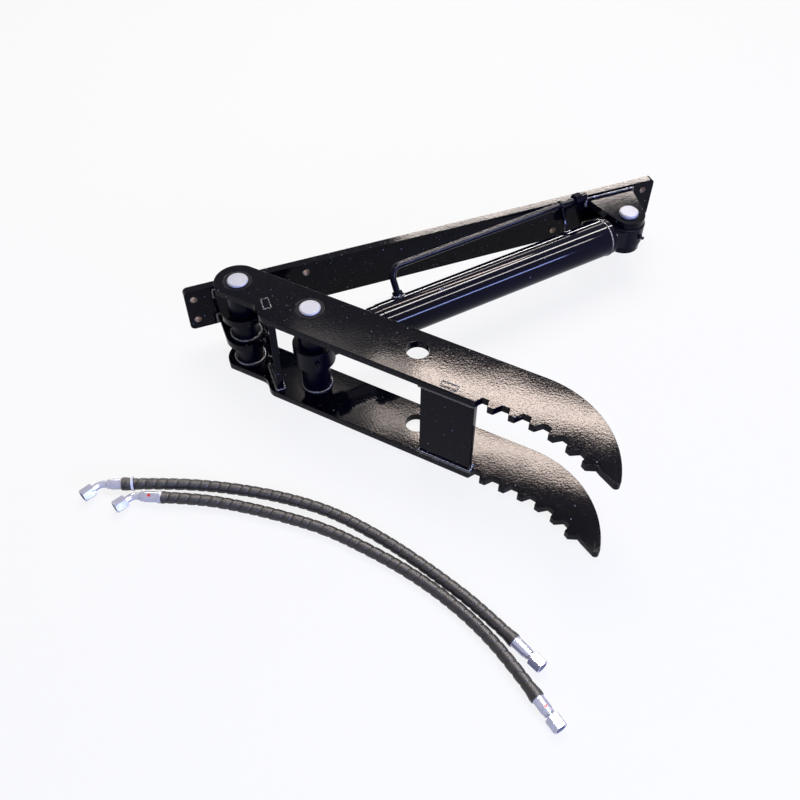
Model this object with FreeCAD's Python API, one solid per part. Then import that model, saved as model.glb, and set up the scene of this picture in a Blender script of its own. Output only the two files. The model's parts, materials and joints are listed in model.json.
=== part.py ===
import FreeCAD, Part
import math
import os
from FreeCAD import Vector

# Hydraulic thumb for a small excavator, lying on its side with every pin axis upright.
# Millimetres. X runs along the mounting bar, Y points out of the bar's back face, Z runs up the pins.
# The origin is on the bar's back face, behind the thumb's pivot and halfway up the pins.

# Pins and the fits round them
pin_d = 30.0
pin_r = pin_d / 2
running_gap = 0.05          # radial, a pin in its bush, a rod in its gland
seat_gap = 0.02             # radial, a piece welded or pressed into its seat
side_gap = 0.5              # axial, between pieces that turn on one pin
pin_chamfer = 1.5
pin_proud = 3.0             # upper end of the thumb's two pins above the plate
pin_inset = 0.5             # lower end of the same pins inside the plate

# Thumb side plates, in the thumb's own frame: x from the pivot to the tip, y away from the teeth
thumb_plate_t = 12.0
thumb_inner_gap = 141.0
plate_back_y = 34.5         # straight back edge, and the radius of the pivot end
plate_neck_y = -29.5        # tooth-side edge beside the pivot
plate_edge_y = -46.5        # tooth-side edge from the step to the first tooth
neck_step_x = 42.0
neck_step_run = 32.0
neck_step_r = 18.0
hook_start_x = 460.0
hook_back_r = 143.0
hook_sweep_deg = 76.5
tip_r = 5.4
tooth_count = 6
tooth_pitch = 29.0
tooth_depth = 11.0
tooth_root_flat = 8.5
tooth_flank_run = 2.5
tooth_tip_flat = 8.5
tooth_ramp = 7.5
first_tooth_x = 401.0
first_ramp = 6.0            # from the tooth-side edge up to the first root
last_root_flat = 6.3
root_line_y = -36.0
root_curve_x = 455.0
root_curve_r = 204.0
rod_pin_x = 121.0           # rod pin from the pivot
spare_hole_x = 289.5        # second hole for the rod pin
spare_hole_d = 32.0
thumb_rest_deg = -48.8      # thumb's direction beside the bar, rod drawn in

# Bosses, stiffener and cross plate of the thumb
boss_wall = 6.0
stiffener_t = 10.0
stiffener_w = 52.0
stiffener_x = 61.5
stiffener_y = -20.5
stiffener_deg = -43.0
stiffener_tenon_w = 20.0
cross_plate_t = 10.0
cross_plate_w = 78.0
cross_plate_x = 355.0
cross_plate_recess = 3.5    # its outer face behind the plates' edge
cross_tenon_w = 23.0
tenon_gap = 0.1

# Mounting bar
bar_length = 800.0
bar_height = 75.0
bar_t = 12.0
bar_tail = 76.0             # bar beyond the pivot, on the side away from the cylinder
bar_corner_r = 8.0
bar_hole_d = 11.0
bar_hole_pitch = 40.0
pivot_end_holes = (13.0, 189.0)     # hole pairs, from the end by the pivot
cylinder_end_holes = (183.0, 19.0)  # and from the other end

# Pivot ears and hinge tube on the bar
pivot_stand_off = 52.0      # pivot axis in front of the bar
ear_t = 12.0
ear_outer_gap = 61.0        # over the two ears of a pair
pivot_ear_r = 32.0
hinge_tube_bore_r = 18.0

# Cylinder ears on the bar
cylinder_pin_to_end = 82.0
cylinder_pin_stand_off = 59.0
cylinder_ear_r = 27.0
cylinder_ear_foot = (45.0, 39.0)    # reach of the foot to both sides of the pin
cylinder_pin_proud = 5.5

# Cylinder, in its own frame: s from the rod pin to the cylinder pin, y towards the bar
bore_d = 50.0
barrel_od = 60.0
rod_d = 30.0
eye_r = 30.5
eye_width = 35.0
eye_bush_wall = 2.0
eye_neck_r = 19.0
eye_neck_end = 46.0
rod_spigot_r = 12.0
rod_spigot_start = 25.0
gland_face = 97.0
gland_collar = 14.0
gland_collar_r = 29.0
gland_length = 46.0
barrel_end_gap = 37.0       # end of the base cap to the cylinder pin
base_cap_t = 12.0
base_cap_spigot = 2.0
lug_r = 29.0
lug_neck_w = 42.0
lug_neck_h = 30.0
piston_t = 36.0
piston_nut_t = 11.0
piston_spigot_r = 11.0
piston_end_gap = 3.0
piston_gap = 0.1
seal_gap = 0.05

# Ports, hard tube and its fittings
port_deg = 53.0             # turned up from the bar's side
front_port_s = 150.0
rear_port_back = 11.0       # rear port's axis in front of the base cap
port_boss_r = 11.0
port_boss_top = 41.0
rear_boss_top = 46.0
port_bore_r = 4.0
thread_r = 6.3              # M14 x 1.5, drawn plain at its minor radius
nipple_r = 6.2
thread_depth = 12.0
tube_r = 5.0
tube_bore_r = 3.5
tube_reach = 73.0           # tube's run from the cylinder's axis
tube_bend_r = 18.0
tube_socket = 6.0
tube_end_back = 25.5        # tube's end before the end of the barrel
fitting_hex = 17.0
fitting_hex_l = 12.0
nipple_l = 12.0
stay_back = 55.5            # stay before the end of the barrel
stay_t = 4.0
stay_w = 16.0
stay_eye_r = 9.0

# Grease nipples and spring pins
nipple_head_r = 3.2
nipple_shank_r = 2.5
nipple_shank_l = 5.0
eye_nipple_deg = -106.0
lug_nipple_deg = -75.0
spring_pin_r = 3.0
spring_pin_gap = 0.03
spring_pin_inner = 7.0      # inner end, from the axis of the pin it locks
spring_pin_z = 50.0

# Loose hoses on the floor; the points are their centre lines, seen from above
hose_r = 7.5
hose_a_points = ((-222, -241), (-172, -259), (-118, -282), (-66, -311), (-16, -345), (29, -384),
                 (66, -430), (99, -479), (129, -531), (156, -584), (178, -640))
hose_b_points = ((-184, -279), (-134, -301), (-84, -331), (-35, -367), (12, -406), (51, -451),
                 (88, -499), (119, -549), (144, -602), (161, -657), (172, -712))
hose_floor_gap = 0.05
arc_share = 0.45
ferrule_r = 8.0
ferrule_l = 27.0
ferrule_lap = 3.0           # the ferrule's flared mouth over the hose end
ferrule_collar_l = 5.0
stem_r = 5.0
stem_bore_r = 3.0
elbow_deg = 45.0
elbow_r = 15.0
elbow_lead = 4.0
elbow_tail = 5.0
stem_nose_r = 6.1
stem_nose_l = 4.0
nut_hex = 17.0
nut_l = 17.0
nut_collar_l = 3.0
nut_relief_l = 5.5
nut_relief_r = 6.9
nut_floor_gap = 0.4
tie_s = 9.0                 # cable tie from the start of hose A
tie_w = 4.5
tie_t = 1.4

# Sizes that follow from those above
boss_r = pin_r + boss_wall
half_inner = thumb_inner_gap / 2
half_outer = half_inner + thumb_plate_t
floor_z = -half_outer
half_ears = ear_outer_gap / 2
half_eye = eye_width / 2
bush_r = pin_r + running_gap
barrel_r = barrel_od / 2
bore_r = bore_d / 2
rod_r = rod_d / 2
bar_front_y = -bar_t
bar_left = -bar_tail
bar_right = bar_left + bar_length
cylinder_pin_x = bar_right - cylinder_pin_to_end
pivot = Vector(0, bar_front_y - pivot_stand_off, 0)
cylinder_pin = Vector(cylinder_pin_x, bar_front_y - cylinder_pin_stand_off, 0)
thumb_rest = math.radians(thumb_rest_deg)
rod_pin = pivot + Vector(rod_pin_x * math.cos(thumb_rest), rod_pin_x * math.sin(thumb_rest), 0)
pin_line = cylinder_pin - rod_pin
closed_length = pin_line.Length
cylinder_rest_deg = math.degrees(math.atan2(pin_line.y, pin_line.x))
cap_face = closed_length - barrel_end_gap
barrel_end = cap_face - base_cap_t
tube_end_s = barrel_end - tube_end_back
stay_s = barrel_end - stay_back
rear_port_s = barrel_end - rear_port_back
piston_back = barrel_end - base_cap_spigot - piston_end_gap - piston_nut_t
piston_front = piston_back - piston_t
barrel_front = gland_face + gland_collar
gland_back = gland_face + gland_length
nut_corner_r = nut_hex / math.sqrt(3)
fitting_z = floor_z + nut_corner_r + nut_floor_gap
hose_z = floor_z + hose_r + hose_floor_gap

up = Vector(0, 0, 1)
parts = {}


def in_thumb(shape):
    """Moves a shape from the thumb's frame to its place."""
    shape.rotate(Vector(0, 0, 0), up, thumb_rest_deg)
    shape.translate(pivot)
    return shape


def in_cylinder(shape):
    """Moves a shape from the cylinder's frame to its place."""
    shape.rotate(Vector(0, 0, 0), up, cylinder_rest_deg)
    shape.translate(rod_pin)
    return shape


def rounded_edges(points):
    """Edges of a closed outline; each point is x, y and the radius of its corner."""
    count = len(points)
    starts = []
    ends = []
    arcs = []
    for i in range(count):
        x, y, radius = points[i]
        corner = Vector(x, y, 0)
        before = Vector(points[i - 1][0], points[i - 1][1], 0)
        after = Vector(points[(i + 1) % count][0], points[(i + 1) % count][1], 0)
        back = (before - corner).normalize()
        ahead = (after - corner).normalize()
        if radius == 0:
            starts.append(corner)
            ends.append(corner)
            arcs.append(None)
            continue
        half = back.getAngle(ahead) / 2
        reach = radius / math.tan(half)
        start = corner + back * reach
        end = corner + ahead * reach
        middle_way = (back + ahead).normalize()
        middle = corner + middle_way * (radius / math.sin(half) - radius)
        starts.append(start)
        ends.append(end)
        arcs.append(Part.Arc(start, middle, end).toShape())
    edges = []
    for i in range(count):
        if arcs[i] is not None:
            edges.append(arcs[i])
        following = starts[(i + 1) % count]
        if (following - ends[i]).Length > 1e-6:
            edges.append(Part.LineSegment(ends[i], following).toShape())
    return edges


def slab(points, low, high):
    """A plate with a rounded outline, between two heights."""
    face = Part.Face(Part.Wire(rounded_edges(points)))
    face.translate(Vector(0, 0, low))
    return face.extrude(Vector(0, 0, high - low))


def upright(radius, low, high, x=0.0, y=0.0):
    """A cylinder along Z."""
    return Part.makeCylinder(radius, high - low, Vector(x, y, low))


def turned(profile):
    """A solid turned about X; the profile's points are x and radius."""
    points = [Vector(x, r, 0) for x, r in profile]
    face = Part.Face(Part.makePolygon(points + points[:1]))
    return face.revolve(Vector(0, 0, 0), Vector(1, 0, 0), 360)


def ring(inner, outer, start, end):
    """A plain ring about X."""
    return turned([(start, inner), (end, inner), (end, outer), (start, outer)])


def upright_ring(inner, outer, low, high, x=0.0, y=0.0):
    return upright(outer, low, high, x, y).cut(upright(inner, low, high, x, y))


def chamfered_pin(radius, low, high, x=0.0, y=0.0):
    """A round pin along Z with both ends chamfered."""
    body = turned([(low, 0), (low, radius - pin_chamfer), (low + pin_chamfer, radius),
                   (high - pin_chamfer, radius), (high, radius - pin_chamfer), (high, 0)])
    body.rotate(Vector(0, 0, 0), Vector(0, 1, 0), -90)
    body.translate(Vector(x, y, 0))
    return body


def hexagon(flats, start, end):
    """A hexagonal bar along X, its corners eased by a cone at each end."""
    corner = flats / math.sqrt(3)
    points = [Vector(start, corner * math.cos(math.radians(60 * i)), corner * math.sin(math.radians(60 * i)))
              for i in range(6)]
    bar = Part.Face(Part.makePolygon(points + points[:1])).extrude(Vector(end - start, 0, 0))
    ease = corner - flats / 2
    envelope = turned([(start, 0), (start, flats / 2), (start + ease * 0.6, corner), (end - ease * 0.6, corner),
                       (end, flats / 2), (end, 0)])
    return bar.common(envelope)


def radial(shape, station, degrees):
    """Turns a shape made along X so that it stands out of the cylinder at a station."""
    shape.rotate(Vector(0, 0, 0), Vector(0, 0, 1), 90)
    shape.rotate(Vector(0, 0, 0), Vector(1, 0, 0), degrees)
    shape.translate(Vector(station, 0, 0))
    return shape


def spoke(radius, inner, outer, degrees, x, y, z):
    """A short round bar in the XY plane, pointing away from a pin's axis."""
    way = Vector(math.cos(math.radians(degrees)), math.sin(math.radians(degrees)), 0)
    return Part.makeCylinder(radius, outer - inner, Vector(x, y, z) + way * inner, way)


# Thumb side plates

def root_point(distance, depth):
    """A point on the teeth's root line, a distance along it from the first root and a depth below it."""
    straight = root_curve_x - first_tooth_x
    if distance <= straight:
        return first_tooth_x + distance, root_line_y - depth
    turn = (distance - straight) / root_curve_r
    reach = root_curve_r + depth
    centre_y = root_line_y - root_curve_r
    outward = root_curve_r - depth
    return root_curve_x + outward * math.sin(turn), centre_y + outward * math.cos(turn)


def thumb_outline():
    """Corner points of a side plate, clockwise from the pivot end."""
    points = []
    hook = math.radians(hook_sweep_deg)
    hook_centre_y = plate_back_y - hook_back_r
    end_way = math.radians(90 - hook_sweep_deg)
    hook_end = (hook_start_x + hook_back_r * math.cos(end_way), hook_centre_y + hook_back_r * math.sin(end_way))
    hook_corner = (hook_start_x + hook_back_r * math.tan(hook / 2), plate_back_y)
    tip_run = 14.0
    tip = (hook_end[0] + tip_run * math.sin(end_way), hook_end[1] - tip_run * math.cos(end_way))
    points.append((-plate_back_y, plate_back_y, plate_back_y))
    points.append((hook_corner[0], hook_corner[1], hook_back_r))
    points.append((tip[0], tip[1], tip_r))
    flank_end = tooth_root_flat + tooth_flank_run
    tip_end = flank_end + tooth_tip_flat
    stations = ((tip_end + tooth_ramp, 0.0), (tip_end, tooth_depth), (flank_end, tooth_depth), (tooth_root_flat, 0.0))
    teeth_end = (tooth_count - 1) * tooth_pitch + tip_end + tooth_ramp
    points.append(root_point(teeth_end + last_root_flat, 0) + (1.5,))
    for i in reversed(range(tooth_count)):
        for along, depth in stations:
            points.append(root_point(i * tooth_pitch + along, depth) + (0,))
    points.append(root_point(0, 0) + (0,))
    points.append((first_tooth_x - first_ramp, plate_edge_y, 0))
    points.append((neck_step_x + neck_step_run - 7.5, plate_edge_y, neck_step_r))
    points.append((neck_step_x + 7.5, plate_neck_y, neck_step_r))
    points.append((-math.sqrt(plate_back_y ** 2 - plate_neck_y ** 2), plate_neck_y, 0))
    return points


def stiffener_outline(width, thickness):
    """Corners of the stiffener's section, or of its tenon, in the thumb's frame."""
    turn = math.radians(stiffener_deg)
    along = (math.cos(turn), math.sin(turn))
    across = (-math.sin(turn), math.cos(turn))
    corners = ((-1, -1), (1, -1), (1, 1), (-1, 1))
    return [(stiffener_x + a * along[0] * width / 2 + c * across[0] * thickness / 2,
             stiffener_y + a * along[1] * width / 2 + c * across[1] * thickness / 2, 0) for a, c in corners]


def cross_outline(width, thickness):
    """Corners of the cross plate's section, or of its tenon, in the thumb's frame."""
    middle_y = plate_edge_y + cross_plate_recess + cross_plate_t / 2
    corners = ((-1, -1), (1, -1), (1, 1), (-1, 1))
    return [(cross_plate_x + a * width / 2, middle_y + c * thickness / 2, 0) for a, c in corners]


def side_plate(low, high):
    outline = thumb_outline()
    # the pivot end is a full round, cut off straight along the neck
    start = Vector(0, plate_back_y, 0)
    left = Vector(-plate_back_y, 0, 0)
    neck_x = -math.sqrt(plate_back_y ** 2 - plate_neck_y ** 2)
    neck = Vector(neck_x, plate_neck_y, 0)
    round_end = Part.Arc(neck, left, start).toShape()
    body = outline[1:-1]
    closed = [(0, plate_back_y, 0)] + body + [(neck_x, plate_neck_y, 0)]
    edges = rounded_edges(closed)[:-1] + [round_end]
    face = Part.Face(Part.Wire(edges))
    face.translate(Vector(0, 0, low))
    plate = face.extrude(Vector(0, 0, high - low))
    for x in (0.0, rod_pin_x):
        plate = plate.cut(upright(boss_r + seat_gap, low, high, x))
    plate = plate.cut(upright(spare_hole_d / 2, low, high, spare_hole_x))
    tenon_t = stiffener_t + 2 * tenon_gap
    plate = plate.cut(slab(stiffener_outline(stiffener_tenon_w + 2 * tenon_gap, tenon_t), low, high))
    tenon_t = cross_plate_t + 2 * tenon_gap
    plate = plate.cut(slab(cross_outline(cross_tenon_w + 2 * tenon_gap, tenon_t), low, high))
    return in_thumb(plate)


def bosses(x, inner):
    """Upper and lower boss tubes of one pin, from a plate's outer face to the piece between them."""
    outer = half_outer
    upper = upright_ring(bush_r, boss_r, inner, outer, x)
    lower = upright_ring(bush_r, boss_r, -outer, -inner, x)
    lock = spoke(spring_pin_r + spring_pin_gap, spring_pin_inner, boss_r + 1, 90, x, 0, spring_pin_z)
    return in_thumb(upper.cut(lock)), in_thumb(lower)


def tenoned_plate(section, tenon):
    """A plate between the side plates, with a tenon through each."""
    body = slab(section, -half_inner, half_inner)
    return in_thumb(body.fuse(slab(tenon, -half_outer, half_outer)))


def thumb_pin(x):
    pin = chamfered_pin(pin_r, -half_outer + pin_inset, half_outer + pin_proud, x)
    hole = spoke(spring_pin_r + spring_pin_gap, spring_pin_inner, boss_r + 1, 90, x, 0, spring_pin_z)
    return in_thumb(pin.cut(hole))


parts["thumb_plate_upper"] = side_plate(half_inner, half_outer)
parts["thumb_plate_lower"] = side_plate(-half_outer, -half_inner)
parts["pivot_boss_upper"], parts["pivot_boss_lower"] = bosses(0.0, half_ears + side_gap)
parts["rod_boss_upper"], parts["rod_boss_lower"] = bosses(rod_pin_x, half_eye + side_gap)
parts["stiffener"] = tenoned_plate(stiffener_outline(stiffener_w, stiffener_t),
                                   stiffener_outline(stiffener_tenon_w, stiffener_t))
parts["cross_plate"] = tenoned_plate(cross_outline(cross_plate_w, cross_plate_t),
                                     cross_outline(cross_tenon_w, cross_plate_t))
parts["pivot_pin"] = thumb_pin(0.0)
parts["rod_pin"] = thumb_pin(rod_pin_x)
parts["thumb_spring_pins"] = Part.makeCompound(
    [in_thumb(spoke(spring_pin_r, spring_pin_inner + 1, boss_r, 90, x, 0, spring_pin_z)) for x in (0.0, rod_pin_x)])


# Mounting bar with its ears

def mounting_bar():
    half = bar_height / 2
    outline = [(bar_left, -half, bar_corner_r), (bar_right, -half, bar_corner_r),
               (bar_right, half, bar_corner_r), (bar_left, half, bar_corner_r)]
    bar = slab(outline, 0, bar_t)
    hole_xs = [bar_left + x for x in pivot_end_holes] + [bar_right - x for x in cylinder_end_holes]
    for x in hole_xs:
        for side in (-1, 1):
            bar = bar.cut(upright(bar_hole_d / 2, 0, bar_t, x, side * bar_hole_pitch / 2))
    bar.rotate(Vector(0, 0, 0), Vector(1, 0, 0), 90)
    return bar


def pivot_ear(low, high):
    r = pivot_ear_r
    tab = slab([(-r, bar_front_y, 0), (-r, pivot.y - r, r - 0.01), (r, pivot.y - r, r - 0.01), (r, bar_front_y, 0)],
               low, high)
    return tab.cut(upright(boss_r + seat_gap, low, high, pivot.x, pivot.y))


def tangent_point(x, y, centre, radius, side):
    """Where a line from a point touches a circle, on the left or right of the way to its centre."""
    dx = centre.x - x
    dy = centre.y - y
    distance = math.hypot(dx, dy)
    way = math.atan2(dy, dx) + side * math.asin(radius / distance)
    reach = math.sqrt(distance ** 2 - radius ** 2)
    return Vector(x + reach * math.cos(way), y + reach * math.sin(way), 0)


def cylinder_ear(low, high):
    left, right = cylinder_ear_foot
    a = Vector(cylinder_pin.x - left, bar_front_y, 0)
    b = Vector(cylinder_pin.x + right, bar_front_y, 0)
    left_touch = tangent_point(a.x, a.y, cylinder_pin, cylinder_ear_r, -1)
    right_touch = tangent_point(b.x, b.y, cylinder_pin, cylinder_ear_r, 1)
    tip = cylinder_pin + ((left_touch + right_touch) * 0.5 - cylinder_pin).normalize() * cylinder_ear_r
    edges = [Part.LineSegment(a, left_touch).toShape(), Part.Arc(left_touch, tip, right_touch).toShape(),
             Part.LineSegment(right_touch, b).toShape(), Part.LineSegment(b, a).toShape()]
    face = Part.Face(Part.Wire(edges))
    face.translate(Vector(0, 0, low))
    ear = face.extrude(Vector(0, 0, high - low))
    return ear.cut(upright(bush_r, low, high, cylinder_pin.x, cylinder_pin.y))


ear_low = half_ears - ear_t
ear_lock = spoke(spring_pin_r + spring_pin_gap, spring_pin_inner, cylinder_ear_r + 1, -60, cylinder_pin.x,
                 cylinder_pin.y, -half_ears + ear_t / 2)
journal_in = half_eye + side_gap
journal_out = half_ears + cylinder_pin_proud
parts["mounting_bar"] = mounting_bar()
parts["pivot_ear_upper"] = pivot_ear(ear_low, half_ears)
parts["pivot_ear_lower"] = pivot_ear(-half_ears, -ear_low)
parts["hinge_tube"] = upright_ring(hinge_tube_bore_r, boss_r, -half_ears, half_ears, pivot.x, pivot.y)
parts["pivot_bushes"] = Part.makeCompound(
    [upright_ring(bush_r, hinge_tube_bore_r - seat_gap, low, low + 27.0, pivot.x, pivot.y)
     for low in (-half_ears, half_ears - 27.0)])
parts["cylinder_ear_upper"] = cylinder_ear(ear_low, half_ears)
parts["cylinder_ear_lower"] = cylinder_ear(-half_ears, -ear_low).cut(ear_lock)
upper_journal = chamfered_pin(pin_r, journal_in, journal_out, cylinder_pin.x, cylinder_pin.y)
lower_journal = chamfered_pin(pin_r, -journal_out, -journal_in, cylinder_pin.x, cylinder_pin.y)
parts["cylinder_pin_journals"] = Part.makeCompound([upper_journal, lower_journal.cut(ear_lock)])
parts["ear_spring_pin"] = spoke(spring_pin_r, spring_pin_inner + 1, cylinder_ear_r, -60, cylinder_pin.x,
                                cylinder_pin.y, -half_ears + ear_t / 2)


# Rod: eye, bush, rod, piston and what is on it

def grease_nipple():
    """A nipple along X from the face it is screwed into."""
    return turned([(-nipple_shank_l, 0), (-nipple_shank_l, nipple_shank_r), (0, nipple_shank_r), (0, 4.2),
                   (2.6, 4.2), (3.2, nipple_head_r), (4.6, 2.0), (5.6, 2.0), (7.0, nipple_head_r), (8.4, 1.6),
                   (8.4, 0)])


def nipple_hole(centre, reach, degrees):
    return spoke(nipple_shank_r + seat_gap, reach - nipple_shank_l - 1.2, reach + 2, degrees, centre, 0, 0)


def placed_nipple(centre, reach, degrees):
    nipple = grease_nipple()
    nipple.translate(Vector(reach, 0, 0))
    nipple.rotate(Vector(0, 0, 0), up, degrees)
    nipple.translate(Vector(centre, 0, 0))
    return in_cylinder(nipple)


def spot_face(centre, reach, degrees):
    """A flat seat for the nipple on a round eye."""
    return spoke(5.0, reach - 0.6, reach + 3, degrees, centre, 0, 0)


def rod_eye():
    eye = upright(eye_r, -half_eye, half_eye)
    eye = eye.makeChamfer(1.2, [e for e in eye.Edges if e.Length > eye_r * 6])
    neck = turned([(0, 0), (0, eye_neck_r), (eye_neck_end - 3, eye_neck_r), (eye_neck_end, eye_neck_r - 3),
                   (eye_neck_end, 0)])
    body = eye.fuse(neck.common(upright(200, -half_eye, half_eye)))
    body = body.cut(upright(pin_r + eye_bush_wall, -half_eye, half_eye))
    socket = Part.makeCylinder(rod_spigot_r, eye_neck_end, Vector(rod_spigot_start - 0.5, 0, 0), Vector(1, 0, 0))
    body = body.cut(socket)
    body = body.cut(spot_face(0, eye_r, eye_nipple_deg))
    return in_cylinder(body.cut(nipple_hole(0, eye_r, eye_nipple_deg)))


def piston_rod():
    spigot = rod_spigot_r - seat_gap
    end = piston_back + piston_nut_t
    return in_cylinder(turned([(rod_spigot_start, 0), (rod_spigot_start + 1.5, spigot),
                               (eye_neck_end + seat_gap, spigot), (eye_neck_end + seat_gap, rod_r - 1),
                               (eye_neck_end + 1, rod_r), (piston_front, rod_r), (piston_front, piston_spigot_r),
                               (end - 1, piston_spigot_r), (end, piston_spigot_r - 1), (end, 0)]))


def piston():
    seal_r = bore_r - 4.0
    guide_r = bore_r - 2.5
    outer = bore_r - piston_gap
    inner = piston_spigot_r + seat_gap
    f = piston_front
    return in_cylinder(turned([(f, inner), (f, outer - 1), (f + 1, outer), (f + 3, outer), (f + 3, guide_r),
                               (f + 11, guide_r), (f + 11, outer), (f + 14, outer), (f + 14, seal_r),
                               (f + 20, seal_r), (f + 20, outer), (f + 24, outer), (f + 24, guide_r),
                               (f + 32, guide_r), (f + 32, outer), (piston_back - 1, outer),
                               (piston_back, outer - 1), (piston_back, inner)]))


guide_in = bore_r - 2.5 + seat_gap
seal_out = bore_r - seal_gap
parts["rod_eye"] = rod_eye()
parts["rod_eye_bush"] = in_cylinder(upright_ring(bush_r, pin_r + eye_bush_wall - seat_gap, -half_eye, half_eye))
parts["rod_eye_nipple"] = placed_nipple(0, eye_r - 0.6, eye_nipple_deg)
parts["piston_rod"] = piston_rod()
parts["piston"] = piston()
parts["piston_guide_rings"] = Part.makeCompound(
    [in_cylinder(ring(guide_in, seal_out, piston_front + start, piston_front + start + 7.6)) for start in (3.2, 24.2)])
parts["piston_seal"] = in_cylinder(ring(bore_r - 4.0 + seat_gap, seal_out, piston_front + 14.2, piston_front + 19.8))
parts["piston_nut"] = in_cylinder(
    hexagon(36.0, piston_back, piston_back + piston_nut_t).cut(
        Part.makeCylinder(piston_spigot_r + seat_gap, 40, Vector(piston_back - 5, 0, 0), Vector(1, 0, 0))))


# Barrel: tube, gland, base cap, lug, ports and the hard tube

def barrel_tube():
    tube = turned([(barrel_front, bore_r), (barrel_end, bore_r), (barrel_end, barrel_r - 1),
                   (barrel_end - 1, barrel_r), (barrel_front + 1, barrel_r), (barrel_front, barrel_r - 1)])
    for station, degrees in ((front_port_s, port_deg), (rear_port_s, -port_deg)):
        drill = Part.makeCylinder(port_bore_r, barrel_r, Vector(bore_r - 3, 0, 0), Vector(1, 0, 0))
        tube = tube.cut(radial(drill, station, degrees))
    return in_cylinder(tube)


def gland():
    bore = rod_r + running_gap
    body_r = bore_r - seat_gap
    f = gland_face
    body = turned([(f + 6, bore), (f + 20, bore), (f + 20, rod_r + 5), (f + 27, rod_r + 5), (f + 27, bore),
                   (gland_back, bore), (gland_back, body_r - 1), (gland_back - 1, body_r), (f + 38, body_r),
                   (f + 38, bore_r - 3), (f + 33, bore_r - 3), (f + 33, body_r), (barrel_front, body_r),
                   (barrel_front, gland_collar_r), (f + 1.5, gland_collar_r), (f, gland_collar_r - 1.5),
                   (f, rod_r + 4), (f + 6, rod_r + 4)])
    for i in range(4):
        slot = Part.makeBox(8, 8, 8, Vector(f - 1, -4, gland_collar_r - 4))
        slot.rotate(Vector(0, 0, 0), Vector(1, 0, 0), 45 + 90 * i)
        body = body.cut(slot)
    return in_cylinder(body)


def base_cap():
    spigot_r = bore_r - seat_gap
    return in_cylinder(turned([(barrel_end - base_cap_spigot, 0), (barrel_end - base_cap_spigot, spigot_r),
                               (barrel_end, spigot_r), (barrel_end, barrel_r - 1), (barrel_end + 1, barrel_r),
                               (cap_face - 3, barrel_r), (cap_face, barrel_r - 3), (cap_face, 0)]))


def barrel_lug():
    centre = closed_length
    eye = upright(lug_r, -half_eye, half_eye, centre)
    eye = eye.makeChamfer(1.2, [e for e in eye.Edges if e.Length > lug_r * 6])
    half = lug_neck_w / 2
    neck = slab([(cap_face, -half, 0), (centre, -lug_r + 3, 0), (centre, lug_r - 3, 0), (cap_face, half, 0)],
                -lug_neck_h / 2, lug_neck_h / 2)
    body = eye.fuse(neck).cut(upright(pin_r + eye_bush_wall, -half_eye, half_eye, centre))
    body = body.cut(spot_face(centre, lug_r, lug_nipple_deg))
    return in_cylinder(body.cut(nipple_hole(centre, lug_r, lug_nipple_deg)))


def port_boss(top, bore, depth, station, degrees):
    """A boss saddled on the barrel, with a socket in its top and a port through it."""
    body = turned([(bore_r, 0), (bore_r, port_boss_r), (top - 1, port_boss_r), (top, port_boss_r - 1), (top, 0)])
    body = body.cut(Part.makeCylinder(bore, depth + 1, Vector(top - depth, 0, 0), Vector(1, 0, 0)))
    body = body.cut(Part.makeCylinder(port_bore_r, top, Vector(bore_r - 1, 0, 0), Vector(1, 0, 0)))
    body = radial(body, station, degrees)
    barrel = Part.makeCylinder(barrel_r + seat_gap, 100, Vector(station - 50, 0, 0), Vector(1, 0, 0))
    return in_cylinder(body.cut(barrel))


def tube_path():
    """Centre line of the hard tube in the plane through the cylinder's axis: x along it, y away from it."""
    foot = port_boss_top - tube_socket + seat_gap
    bend_end = Vector(front_port_s + tube_bend_r, tube_reach, 0)
    bend_start = Vector(front_port_s, tube_reach - tube_bend_r, 0)
    turn = math.radians(45)
    middle = Vector(front_port_s + tube_bend_r * (1 - math.cos(turn)), tube_reach - tube_bend_r * (1 - math.sin(turn)), 0)
    return Part.Wire([Part.LineSegment(Vector(front_port_s, foot, 0), bend_start).toShape(),
                      Part.Arc(bend_start, middle, bend_end).toShape(),
                      Part.LineSegment(bend_end, Vector(tube_end_s, tube_reach, 0)).toShape()])


def piped(path, radius):
    """A round bar along a path of straight runs and tangent arcs."""
    first = path.OrderedEdges[0]
    start = first.valueAt(first.FirstParameter)
    way = first.tangentAt(first.FirstParameter)
    if (path.OrderedVertexes[0].Point - start).Length > 1e-6:
        start = path.OrderedVertexes[0].Point
    section = Part.Wire([Part.makeCircle(radius, start, way)])
    return path.makePipeShell([section], True, False)


def hard_tube():
    path = tube_path()
    tube = piped(path, tube_r).cut(piped(path, tube_bore_r))
    tube.rotate(Vector(0, 0, 0), Vector(1, 0, 0), port_deg)
    return in_cylinder(tube)


def on_tube_run(shape):
    """Moves a shape made along X to the hard tube's run."""
    shape.translate(Vector(0, tube_reach, 0))
    shape.rotate(Vector(0, 0, 0), Vector(1, 0, 0), port_deg)
    return in_cylinder(shape)


def tube_fitting():
    socket = 8.0
    start = tube_end_s - socket
    shoulder = start + fitting_hex_l
    end = shoulder + nipple_l
    body = hexagon(fitting_hex, start, shoulder)
    body = body.fuse(turned([(shoulder - 1, 0), (shoulder - 1, nipple_r), (end - 1.2, nipple_r),
                             (end, nipple_r - 1.2), (end, 0)]))
    body = body.cut(Part.makeCylinder(tube_r + seat_gap, socket + 1, Vector(start - 1, 0, 0), Vector(1, 0, 0)))
    return on_tube_run(body.cut(Part.makeCylinder(tube_bore_r, 60, Vector(start, 0, 0), Vector(1, 0, 0))))


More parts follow.
